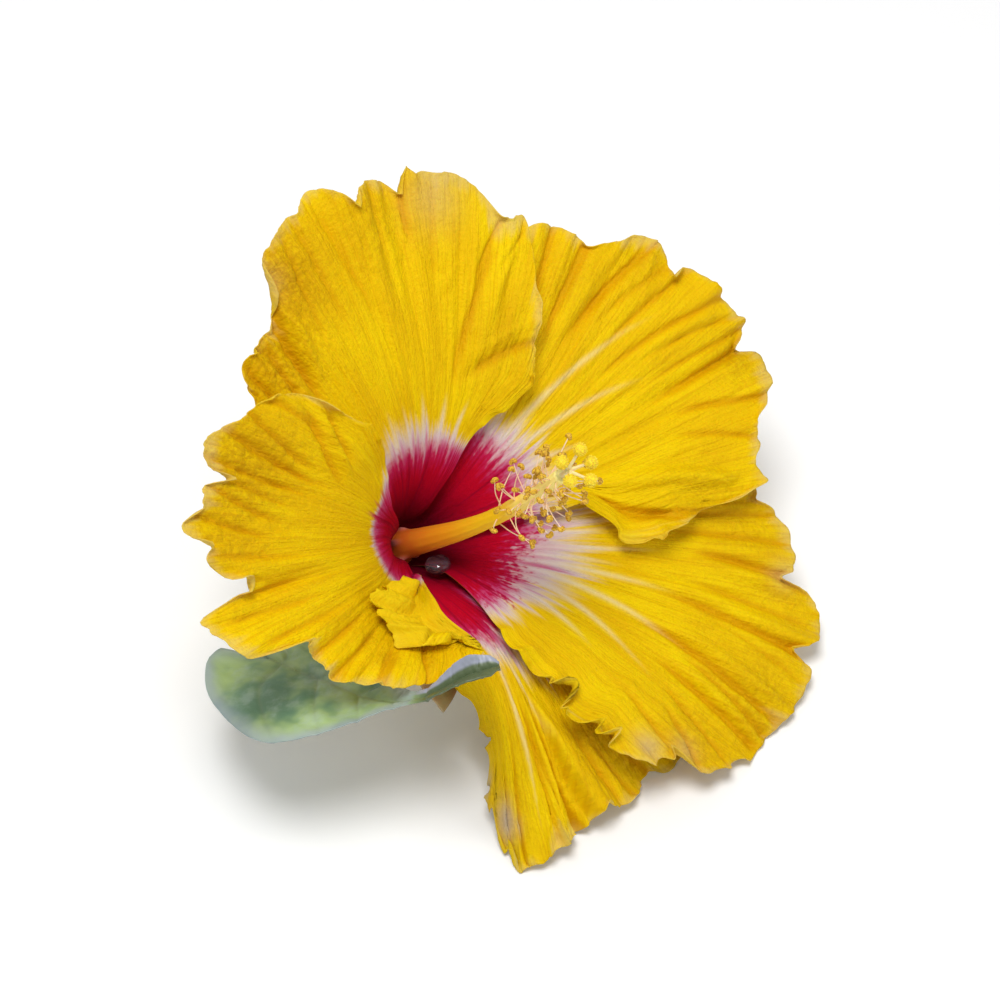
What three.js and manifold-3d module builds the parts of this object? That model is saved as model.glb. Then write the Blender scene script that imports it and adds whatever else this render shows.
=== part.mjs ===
// A large hibiscus flower, picked with its pedicel, a short length of twig and one leaf,
// lying on a flat surface. Millimetres, +Z up.
//
// The blossom is modelled about its own axis: z runs from the receptacle (where petals,
// calyx and column meet) along the staminal column, and azimuths are measured in degrees
// from the side of the blossom that hangs lowest. The petals, calyx and column share one
// funnel-shaped reference surface, described by the distance along it from the receptacle.

import * as THREE from 'three';
import { mergeVertices } from 'three/addons/utils/BufferGeometryUtils.js';
import Module from 'manifold-3d';

// ---- how the blossom lies -------------------------------------------------------------
const AXIS_TILT = 45.33; // degrees between the blossom's axis and the vertical
const AXIS_HEADING = -37.03; // degrees, direction in which the axis leans, from +X

// ---- funnel that the petals follow ----------------------------------------------------
const CLAW_RADIUS = 4.2; // petal bases stand on this circle
const THROAT_ANGLE = 14; // degrees between axis and petal at the base
const RIM_ANGLE = 84; // and far out
const OPENING_LENGTH = 26; // mm of petal over which the funnel opens
const OPENING_POWER = 1.3;
const FUNNEL_STEP = 0.5;
const FUNNEL_LENGTH = 110;

// ---- petals ---------------------------------------------------------------------------
const PETAL_THICKNESS = 0.6;
const CLAW_HALF_WIDTH = 31; // degrees at the base, so that the five claws stand apart
const LAYER_OFFSET = 1.6; // an overlapping edge lies this far above or below the funnel
const PETAL_COLUMNS = 28;
const PETAL_ROWS = 13;

// azimuth of the claw and of the blade's middle line, half width of the blade in degrees,
// and the petal's length at nine places from its first to its second edge; layer is +1
// for an edge that lies over its neighbour and -1 for one that lies under it
const PETALS = [
  {
    name: 'petal_top', claw: 165.3, middle: 163.3, halfWidth: 47, layer: [1, -1], raise: [2, 0],
    length: [47, 68, 75.5, 79, 79, 80, 74.5, 67, 56], sag: 0, phase: 0.4,
  },
  {
    name: 'petal_right', claw: 95.3, middle: 95.3, halfWidth: 46, layer: [1, -1], raise: [2, 0],
    length: [48, 73, 83, 87.5, 86, 81, 74, 71, 56], sag: 0, phase: 1.9,
  },
  {
    name: 'petal_lower_right', claw: 24.3, middle: 32.3, halfWidth: 44, layer: [1, -1], raise: [2, 0],
    length: [44, 68, 81, 88, 90, 86, 79, 72, 55], sag: 0, phase: 3.1,
  },
  {
    name: 'petal_bottom', claw: -45.7, middle: -18.7, halfWidth: 41, layer: [-1, -1], raise: [0, 0],
    length: [50, 68, 75, 76, 74, 72, 72, 69, 54], sag: 5.9, phase: 4.6, curl: 1.75, curlWidth: 0.52,
  },
  {
    name: 'petal_left', claw: 243.3, middle: 253.3, halfWidth: 56, layer: [1, 1], raise: [2, 9],
    length: [46, 65, 73, 74, 73, 60, 54, 47, 36], sag: 0, phase: 5.7,
  },
];

// ---- calyx and bracteoles ---------------------------------------------------------------
const CALYX_TUBE = 13; // mm along the funnel to the notches between the lobes
const CALYX_LOBE = 24; // further length of a lobe
const CALYX_WALL = 0.8;
const CALYX_LOBES = 5;
const CALYX_FLOOR = -0.4;
const BRACTEOLES = 7;
const BRACTEOLE_LENGTH = 13;

// ---- staminal column --------------------------------------------------------------------
const COLUMN_LENGTH = 60;
const COLUMN_HEIGHTS = [14, 22, 30, 38, 46, 53, COLUMN_LENGTH]; // sections along the column
const COLUMN_BEND_START = 18; // the column curves gently from here
const COLUMN_BEND = 0.003; // sideways offset per mm squared beyond that
const COLUMN_BEND_AZIMUTH = 165; // the side towards which it curves
const FIRST_STAMEN = 35;
const LAST_STAMEN = 58;
const STAMENS = 38;
const GOLDEN_ANGLE = 137.508;
const ANTHER_RADIUS = 0.62;
const FILAMENT_RADIUS = 0.17;
const STYLE_RADIUS = 0.5;
const STYLE_END = 62.5; // the style divides into its five branches here
const STIGMA_RADIUS = 1.3;
const STIGMA_AZIMUTH = 70;

// ---- pedicel, twig and leaf, from the receptacle, along the surface's own axes ------------
const PEDICEL_RADIUS = 1.5;
const PEDICEL_PATH = [[-1.36, 1.03, -1.69], [-10, 7.3, -13.5], [-15.5, 12.5, -20.6], [-24.4, 19.8, -25.2]];
const TWIG_RADIUS = 2.6;
const TWIG_PATH = [[-29, 12.2, -26.2], [-27, 22, -26.2], [-22.5, 40, -26.2], [-16, 57, -26.2]];
const PETIOLE_RADIUS = 0.95;
const PETIOLE_PATH = [
  [-29.2, 11.7, -25.9], [-31, 2, -22.8], [-30.5, -13, -12.5], [-25.5, -25.8, -3.2], [-19.7, -32.6, 1.9],
];
const LEAF_MIDRIB = [
  [-24.5, -28.8, -0.2], [-13.6, -38.3, 4.2], [-2.2, -47.8, 9],
  [6.6, -53.2, 17.6], [14.1, -52, 22.2], [20.4, -51.2, 24.5],
];
// half widths from the midrib to each margin, the upper one being nearer the blossom; the blade
// ends in a long narrow tip
const LEAF_UPPER_WIDTH = [7, 11, 12, 6.5, 1.1, 1.2, 2, 2.6, 1.8];
const LEAF_LOWER_WIDTH = [9.5, 16, 18.5, 10, 2, 1.6, 3, 3, 2.2];
const LEAF_BASE_LOBE = 9.5; // the blade's two base lobes reach back past the petiole
const LEAF_THICKNESS = 0.6;
const LEAF_COLUMNS = 8;
const LEAF_ROWS = 22;

const COLOURS = {
  petal: 0xf2c500, calyx: 0xa39a3c, bracteole: 0x6f8f3a, column: 0xe89a34, filament: 0xf0d6c0,
  stigma: 0xffd21a, pedicel: 0x6d8a45, twig: 0x7a6a4c, leaf: 0x3f5f36,
};

const wasm = await Module();
wasm.setup();

const radians = THREE.MathUtils.degToRad;
const lerp = THREE.MathUtils.lerp;
const smoothstep = THREE.MathUtils.smoothstep;

// ---- the funnel ---------------------------------------------------------------------------

// radius, height and angle of the funnel's wall, every FUNNEL_STEP mm along it
function buildFunnel() {
  const table = [];
  let radius = CLAW_RADIUS;
  let height = 0;
  for (let distance = 0; distance <= FUNNEL_LENGTH; distance += FUNNEL_STEP) {
    const opened = 1 - Math.exp(-((distance / OPENING_LENGTH) ** OPENING_POWER));
    const angle = radians(lerp(THROAT_ANGLE, RIM_ANGLE, opened));
    table.push({ radius, height, angle });
    radius += Math.sin(angle) * FUNNEL_STEP;
    height += Math.cos(angle) * FUNNEL_STEP;
  }
  return table;
}

const FUNNEL = buildFunnel();

// point on the funnel at a distance along it and an azimuth, lifted off its inner side
function funnelPoint(distance, azimuth, lift) {
  const position = Math.max(distance, 0) / FUNNEL_STEP;
  const index = Math.min(Math.floor(position), FUNNEL.length - 2);
  const fraction = position - index;
  const before = FUNNEL[index];
  const after = FUNNEL[index + 1];
  const angle = lerp(before.angle, after.angle, fraction);
  const radius = lerp(before.radius, after.radius, fraction) - lift * Math.cos(angle);
  const height = lerp(before.height, after.height, fraction) + lift * Math.sin(angle);
  return new THREE.Vector3(radius * Math.cos(azimuth), radius * Math.sin(azimuth), height);
}

function funnelRadius(distance) {
  return FUNNEL[Math.min(Math.round(distance / FUNNEL_STEP), FUNNEL.length - 1)].radius;
}

// ---- geometry helpers -----------------------------------------------------------------------

// value at u (0 to 1) of a smooth line through evenly spaced values
function smoothValue(values, u) {
  const points = values.map((value, index) => new THREE.Vector2(index, value));
  return new THREE.SplineCurve(points).getPoint(u).y;
}

// closed geometry from numbered points and triangles
function closedGeometry(points, triangles) {
  const geometry = new THREE.BufferGeometry();
  const flat = points.flatMap((point) => [point.x, point.y, point.z]);
  geometry.setAttribute('position', new THREE.Float32BufferAttribute(flat, 3));
  geometry.setIndex(triangles);
  geometry.computeVertexNormals();
  return geometry;
}

// closed sheet between an upper and a lower grid of points, each indexed [column][row]
function sheetGeometry(upper, lower) {
  const columns = upper.length;
  const rows = upper[0].length;
  const points = [...upper.flat(), ...lower.flat()];
  const offset = columns * rows;
  const triangles = [];
  const quad = (a, b, c, d) => triangles.push(a, b, c, a, c, d);
  for (let i = 0; i < columns - 1; i += 1) {
    for (let j = 0; j < rows - 1; j += 1) {
      const corner = i * rows + j;
      quad(corner, corner + rows, corner + rows + 1, corner + 1);
      quad(offset + corner, offset + corner + 1, offset + corner + rows + 1, offset + corner + rows);
    }
  }
  const border = [];
  for (let i = 0; i < columns - 1; i += 1) border.push(i * rows);
  for (let j = 0; j < rows - 1; j += 1) border.push((columns - 1) * rows + j);
  for (let i = columns - 1; i > 0; i -= 1) border.push(i * rows + rows - 1);
  for (let j = rows - 1; j > 0; j -= 1) border.push(j);
  border.forEach((from, index) => {
    const to = border[(index + 1) % border.length];
    quad(from, from + offset, to + offset, to);
  });
  return closedGeometry(points, triangles);
}

function toSolid(geometry) {
  const bare = geometry.clone();
  bare.deleteAttribute('normal');
  bare.deleteAttribute('uv');
  const merged = mergeVertices(bare, 1e-4);
  return new wasm.Manifold(new wasm.Mesh({
    numProp: 3,
    vertProperties: new Float32Array(merged.attributes.position.array),
    triVerts: new Uint32Array(merged.index.array),
  }));
}

function fromSolid(solid) {
  const { vertProperties, triVerts } = solid.getMesh();
  const geometry = new THREE.BufferGeometry();
  geometry.setAttribute('position', new THREE.Float32BufferAttribute(vertProperties, 3));
  geometry.setIndex(new THREE.Uint32BufferAttribute(triVerts, 1));
  geometry.computeVertexNormals();
  return geometry;
}

function join(geometries) {
  const [first, ...others] = geometries.map(toSolid);
  return fromSolid(others.reduce((whole, solid) => whole.add(solid), first));
}

// round rod of one thickness along a smooth path
function rodGeometry(path, radius, sides, steps) {
  const corners = [];
  for (let i = 0; i < sides; i += 1) {
    const angle = (2 * Math.PI * i) / sides;
    corners.push(new THREE.Vector2(radius * Math.cos(angle), radius * Math.sin(angle)));
  }
  const extrudePath = new THREE.CatmullRomCurve3(path);
  return new THREE.ExtrudeGeometry(new THREE.Shape(corners), { steps, extrudePath, bevelEnabled: false });
}

const toVectors = (points) => points.map((point) => new THREE.Vector3(...point));

function namedMesh(name, geometry, colour, roughness) {
  const material = new THREE.MeshStandardMaterial({ color: colour, roughness, metalness: 0 });
  const mesh = new THREE.Mesh(geometry, material);
  mesh.name = name;
  return mesh;
}

// ---- petals -------------------------------------------------------------------------------

// height of the wavy margin above the funnel: waves grow towards the petal's end and its
// sides, and stay on one side of the funnel where a neighbour lies against the petal
function marginWave(petal, across, along, distance, layer) {
  const azimuth = across * petal.halfWidth;
  const waves = 0.62 * Math.sin(radians(azimuth * 15) + petal.phase)
    + 0.38 * Math.sin(radians(azimuth * 26) + 2.3 * petal.phase);
  const overlapped = smoothstep(Math.abs(across), 0.2, 0.6);
  const held = lerp(waves, layer * (0.5 + 0.5 * waves), overlapped);
  const endWave = 3.0 * held * smoothstep(along, 0.5, 1);
  const sideWaves = 0.5 + 0.5 * Math.sin(distance / 2.9 + petal.phase);
  const sideGrowth = smoothstep(Math.abs(across), 0.6, 1) * smoothstep(distance, 22, 40);
  return endWave + 1.8 * layer * sideWaves * sideGrowth;
}

// middle of the petal's thickness; across runs -1 to 1 and along runs 0 to 1
function petalPoint(petal, across, along, offset) {
  const distance = along * smoothValue(petal.length, (across + 1) / 2);
  const side = across < 0 ? 0 : 1;
  const layer = petal.layer[side];
  const outward = smoothstep(Math.abs(across), 0.15, 0.85);
  const overlap = layer * LAYER_OFFSET * outward * smoothstep(distance, 0, 12);
  const raised = petal.raise[side] * smoothstep(Math.abs(across), 0.2, 1) * smoothstep(distance, 12, 47);
  const sagging = petal.sag * smoothstep(distance, 30, 75);
  let lift = overlap + raised - sagging + marginWave(petal, across, along, distance, layer);
  const middle = lerp(petal.claw, petal.middle, smoothstep(distance, 0, 30));
  const halfWidth = lerp(CLAW_HALF_WIDTH, petal.halfWidth, smoothstep(distance, 0, 22));
  let azimuth = radians(middle + across * halfWidth);
  if (petal.curl && across < 0) {
    // this side rolls down and under, away from the throat
    const bend = petal.curl * smoothstep(distance, 10, 45);
    if (bend > 0.01) {
      const width = radians(halfWidth) * lerp(1, petal.curlWidth, smoothstep(distance, 10, 40));
      azimuth = radians(middle) - (width * Math.sin(-across * bend)) / bend;
      lift -= (width * funnelRadius(distance) * (1 - Math.cos(across * bend))) / bend;
    }
  }
  return funnelPoint(distance, azimuth, lift + offset);
}

function petalMesh(petal) {
  const surface = (offset) => {
    const columns = [];
    for (let i = 0; i <= PETAL_COLUMNS; i += 1) {
      const across = (2 * i) / PETAL_COLUMNS - 1;
      const rows = [];
      for (let j = 0; j <= PETAL_ROWS; j += 1) rows.push(petalPoint(petal, across, j / PETAL_ROWS, offset));
      columns.push(rows);
    }
    return columns;
  };
  const geometry = sheetGeometry(surface(-PETAL_THICKNESS / 2), surface(PETAL_THICKNESS / 2));
  return namedMesh(petal.name, geometry, COLOURS.petal, 0.55);
}

// ---- calyx and bracteoles -------------------------------------------------------------------

// length of the calyx along the funnel: five pointed lobes
function calyxLength(azimuth) {
  const position = (azimuth * CALYX_LOBES) / (2 * Math.PI);
  const fromNotch = Math.abs(position - Math.round(position)) * 2;
  return CALYX_TUBE + CALYX_LOBE * fromNotch;
}

function calyxLift(distance) {
  return -lerp(0.75, 2.9, smoothstep(distance, 0, 14)) - 12 * smoothstep(distance, 14, 37);
}

// cup-shaped body: from the middle of its floor up the inside, over the lobes, down the outside
function calyxMesh() {
  const segments = 40;
  const wallRows = 6;
  const profile = [];
  profile.push({ along: 0, inner: true, spread: 0.55 });
  for (let j = 0; j <= wallRows; j += 1) profile.push({ along: j / wallRows, inner: true, spread: 1 });
  for (let j = wallRows; j >= 0; j -= 1) profile.push({ along: j / wallRows, inner: false, spread: 1 });
  profile.push({ along: 0, inner: false, spread: 0.5 });
  const points = [];
  profile.forEach(({ along, inner, spread }) => {
    for (let i = 0; i < segments; i += 1) {
      const azimuth = (2 * Math.PI * i) / segments;
      const distance = along * calyxLength(azimuth);
      const point = funnelPoint(distance, azimuth, calyxLift(distance) - (inner ? 0 : CALYX_WALL));
      point.x *= spread;
      point.y *= spread;
      if (along === 0) point.z = inner ? CALYX_FLOOR : -1.2;
      if (spread < 1 && !inner) point.z = -1.9;
      points.push(point);
    }
  });
  const floorCentre = points.push(new THREE.Vector3(0, 0, CALYX_FLOOR)) - 1;
  const bottomCentre = points.push(new THREE.Vector3(0, 0, -2)) - 1;
  const last = (profile.length - 1) * segments;
  const triangles = [];
  for (let i = 0; i < segments; i += 1) {
    const next = (i + 1) % segments;
    triangles.push(floorCentre, i, next);
    triangles.push(bottomCentre, last + next, last + i);
    for (let j = 0; j < profile.length - 1; j += 1) {
      const ring = j * segments;
      triangles.push(ring + i, ring + segments + i, ring + segments + next);
      triangles.push(ring + i, ring + segments + next, ring + next);
    }
  }
  return namedMesh('calyx', closedGeometry(points, triangles), COLOURS.calyx, 0.6);
}

// narrow pointed bracts in a ring below the calyx, leaning outwards
function bracteoleMesh(index) {
  const geometry = new THREE.SphereGeometry(1, 8, 6);
  geometry.scale(0.45, 1, BRACTEOLE_LENGTH / 2);
  geometry.translate(0, 0, BRACTEOLE_LENGTH / 2);
  const mesh = namedMesh(`bracteole_${index + 1}`, geometry, COLOURS.bracteole, 0.6);
  const azimuth = (2 * Math.PI * index) / BRACTEOLES;
  mesh.position.set(4.7 * Math.cos(azimuth), 4.7 * Math.sin(azimuth), -3);
  mesh.rotation.set(0, radians(56 + 5 * Math.sin(3 * index)), azimuth, 'ZYX');
  return mesh;
}

// ---- staminal column, stamens and pistil ------------------------------------------------------

// sideways offset of the column's centre line at a height above the receptacle
function columnOffset(height) {
  const beyond = Math.max(height - COLUMN_BEND_START, 0);
  const amount = COLUMN_BEND * beyond * beyond;
  const azimuth = radians(COLUMN_BEND_AZIMUTH);
  return new THREE.Vector3(amount * Math.cos(azimuth), amount * Math.sin(azimuth), 0);
}

const columnPoint = (height) => columnOffset(height).setZ(height);

function bendAlongColumn(geometry) {
  const position = geometry.attributes.position;
  for (let i = 0; i < position.count; i += 1) {
    const offset = columnOffset(position.getZ(i));
    position.setXYZ(i, position.getX(i) + offset.x, position.getY(i) + offset.y, position.getZ(i));
  }
  geometry.computeVertexNormals();
  return geometry;
}

// lathe about the blossom's axis, from [radius, height] pairs
function latheGeometry(profile, segments) {
  const points = profile.map(([radius, height]) => new THREE.Vector2(radius, height));
  const geometry = new THREE.LatheGeometry(points, segments);
  geometry.rotateX(Math.PI / 2);
  return geometry;
}

// outer radius of the staminal tube
function tubeRadius(height) {
  return lerp(3.4, 1.6, (Math.min(height, 32) / 32) ** 0.62) - 0.25 * smoothstep(height, 34, COLUMN_LENGTH);
}

function staminalTubeMesh() {
  const outer = [0.1, 4, 9, ...COLUMN_HEIGHTS].map((height) => [tubeRadius(height), height]);
  const bore = COLUMN_HEIGHTS.map((height) => [0.95, height]).reverse();
  const profile = [...outer, ...bore, [0.95, 9.5], [2.2, 5.5], [2.3, 0.1], outer[0]];
  return namedMesh('staminal_tube', bendAlongColumn(latheGeometry(profile, 14)), COLOURS.column, 0.5);
}

// one stamen: a thin filament rising off the tube and its kidney-shaped anther
function stamenMesh(index) {
  const spread = index / (STAMENS - 1);
  const height = lerp(FIRST_STAMEN, LAST_STAMEN, spread ** 0.75);
  const azimuth = radians(index * GOLDEN_ANGLE);
  const reach = 5.4 + 2 * Math.sin(index * 2.1) * Math.sin(index * 0.7);
  const rise = 4 + 1.8 * Math.cos(index * 1.3);
  const outward = new THREE.Vector3(Math.cos(azimuth), Math.sin(azimuth), 0);
  const at = (distance, up) => columnPoint(height).addScaledVector(outward, distance).setZ(height + up);
  const start = tubeRadius(height) + 0.3;
  const path = [at(start, 0), at(start + 0.5 * reach, 0.35 * rise), at(start + reach, rise)];
  const filament = rodGeometry(path, FILAMENT_RADIUS, 4, 3);
  const anther = new THREE.OctahedronGeometry(ANTHER_RADIUS, 1);
  anther.scale(1.15, 1, 0.85);
  anther.translate(path[2].x, path[2].y, path[2].z);
  const name = `stamen_${String(index + 1).padStart(2, '0')}`;
  return namedMesh(name, join([filament, anther]), COLOURS.filament, 0.7);
}

// ovary at the bottom, a style through the staminal tube, and five branches with round stigmas
function pistilMesh() {
  const style = [7.5, ...COLUMN_HEIGHTS, STYLE_END + 0.6].map((height) => [STYLE_RADIUS, height]);
  const profile = [[0, 0.3], [1.3, 0.5], [1.8, 2], [1.5, 4], ...style, [0, STYLE_END + 0.6]];
  const pieces = [bendAlongColumn(latheGeometry(profile, 10))];
  for (let i = 0; i < 5; i += 1) {
    const azimuth = radians(72 * i + STIGMA_AZIMUTH);
    const outward = new THREE.Vector3(Math.cos(azimuth), Math.sin(azimuth), 0);
    const start = columnPoint(STYLE_END);
    const path = [
      start,
      start.clone().addScaledVector(outward, 1.3).add(new THREE.Vector3(0, 0, 1.8)),
      start.clone().addScaledVector(outward, 3.2).add(new THREE.Vector3(0, 0, 3.4 + 1.1 * Math.sin(i * 2))),
    ];
    pieces.push(rodGeometry(path, 0.3, 5, 4));
    const stigma = new THREE.OctahedronGeometry(STIGMA_RADIUS, 1);
    stigma.translate(path[2].x, path[2].y, path[2].z);
    pieces.push(stigma);
  }
  return namedMesh('pistil', join(pieces), COLOURS.stigma, 0.7);
}

// ---- pedicel, twig and leaf ---------------------------------------------------------------------

function pedicelMesh() {
  const rod = rodGeometry(toVectors(PEDICEL_PATH), PEDICEL_RADIUS, 10, 14);
  return namedMesh('pedicel', rod, COLOURS.pedicel, 0.6);
}

function twigMesh() {
  const rod = rodGeometry(toVectors(TWIG_PATH), TWIG_RADIUS, 12, 8);
  return namedMesh('twig', rod, COLOURS.twig, 0.8);
}

// point of the leaf blade: along runs 0 at the petiole to 1 at the tip, across -1 to 1
function leafPoint(curve, across, along, offset) {
  const middle = curve.getPoint(along);
  const tangent = curve.getTangent(along);
  const sideways = new THREE.Vector3(-tangent.y, tangent.x, 0).normalize();
  const normal = tangent.clone().cross(sideways).normalize();
  const halfWidth = smoothValue(across > 0 ? LEAF_UPPER_WIDTH : LEAF_LOWER_WIDTH, along);
  const width = across * halfWidth;
  const lobe = LEAF_BASE_LOBE * (1 - smoothstep(along, 0, 0.35)) * smoothstep(Math.abs(across), 0, 0.7);
  const fold = 0.14 * Math.abs(width) - 0.006 * width * width;
  const wave = 0.5 * Math.sin(along * 17 + (across > 0 ? 0 : 1.5)) * across * across;
  return middle.clone()
    .addScaledVector(sideways, width)
    .addScaledVector(tangent, -lobe)
    .addScaledVector(normal, fold + wave + offset);
}

function leafMesh() {
  const curve = new THREE.CatmullRomCurve3(toVectors(LEAF_MIDRIB));
  const surface = (offset) => {
    const columns = [];
    for (let i = 0; i <= LEAF_COLUMNS; i += 1) {
      const across = 1 - (2 * i) / LEAF_COLUMNS;
      const rows = [];
      for (let j = 0; j <= LEAF_ROWS; j += 1) rows.push(leafPoint(curve, across, j / LEAF_ROWS, offset));
      columns.push(rows);
    }
    return columns;
  };
  const blade = sheetGeometry(surface(LEAF_THICKNESS / 2), surface(-LEAF_THICKNESS / 2));
  const petiole = rodGeometry(toVectors(PETIOLE_PATH), PETIOLE_RADIUS, 8, 14);
  return namedMesh('leaf', join([blade, petiole]), COLOURS.leaf, 0.5);
}

// ---- assembly -----------------------------------------------------------------------------------

function blossomGroup() {
  const blossom = new THREE.Group();
  blossom.rotation.set(0, radians(AXIS_TILT), radians(AXIS_HEADING), 'ZYX');
  PETALS.forEach((petal) => blossom.add(petalMesh(petal)));
  blossom.add(calyxMesh());
  for (let i = 0; i < BRACTEOLES; i += 1) blossom.add(bracteoleMesh(i));
  blossom.add(staminalTubeMesh());
  for (let i = 0; i < STAMENS; i += 1) blossom.add(stamenMesh(i));
  blossom.add(pistilMesh());
  return blossom;
}

const flower = new THREE.Group();
flower.add(blossomGroup(), pedicelMesh(), twigMesh(), leafMesh());

// the origin is the middle of the flower's bounds, on the surface
const bounds = new THREE.Box3().setFromObject(flower, true);
const centre = bounds.getCenter(new THREE.Vector3());
flower.position.set(-centre.x, -centre.y, -bounds.min.z);
flower.updateMatrixWorld(true);

export default flower;
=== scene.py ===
"""Looks of a picked hibiscus flower: five ruffled yellow petals with a crimson eye, the
staminal column with its stamens and stigmas, calyx, bracteoles, pedicel, twig and leaf.

Shapes are worked out in millimetres in two frames, both with their origin at the
receptacle, where petals, calyx and column meet. The blossom's frame has z along its axis
and azimuths measured from the side that hangs lowest; the other has the part's own axes.
"""

import bpy
import numpy as np
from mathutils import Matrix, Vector


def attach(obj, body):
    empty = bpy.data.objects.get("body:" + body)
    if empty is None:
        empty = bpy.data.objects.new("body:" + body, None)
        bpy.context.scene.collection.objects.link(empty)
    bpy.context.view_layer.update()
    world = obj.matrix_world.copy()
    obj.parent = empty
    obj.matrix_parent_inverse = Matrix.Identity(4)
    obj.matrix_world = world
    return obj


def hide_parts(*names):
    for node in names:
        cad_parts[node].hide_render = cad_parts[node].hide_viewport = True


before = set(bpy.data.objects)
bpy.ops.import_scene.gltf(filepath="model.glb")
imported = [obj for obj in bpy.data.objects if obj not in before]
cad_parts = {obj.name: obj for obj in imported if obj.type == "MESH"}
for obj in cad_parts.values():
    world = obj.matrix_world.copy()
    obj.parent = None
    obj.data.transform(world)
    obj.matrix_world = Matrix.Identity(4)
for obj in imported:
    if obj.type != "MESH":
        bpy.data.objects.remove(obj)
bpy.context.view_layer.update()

MM = 0.001
AXIS_TILT = 45.33  # degrees between the blossom's axis and the vertical
AXIS_HEADING = -37.03  # degrees, direction in which the axis leans

# ---- funnel that the petals follow, as in the CAD model ---------------------------------
CLAW_RADIUS = 4.2
THROAT_ANGLE = 14.0
RIM_ANGLE = 84.0
OPENING_LENGTH = 26.0
OPENING_POWER = 1.3
FUNNEL_STEP = 0.5
FUNNEL_LENGTH = 120.0

# ---- petals -----------------------------------------------------------------------------
PETAL_THICKNESS = 0.38
CLAW_HALF_WIDTH = 31.0
LAYER_OFFSET = 1.6
PETAL_COLUMNS = 280
PETAL_ROWS = 120
END_WAVE = 1.8  # height of the large waves along the petals' ends
SIDE_WAVE = 1.2
FRILL = 1.3
FOLD_SCALE = 1.35
FIRST_DISTANCE = -1.5  # the claws reach this far down into the calyx
RESTING_HEIGHT = 0.0015  # m: petals lower than this flatten onto the surface
MAIN_VEINS = 13  # of a petal, each forked

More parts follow.
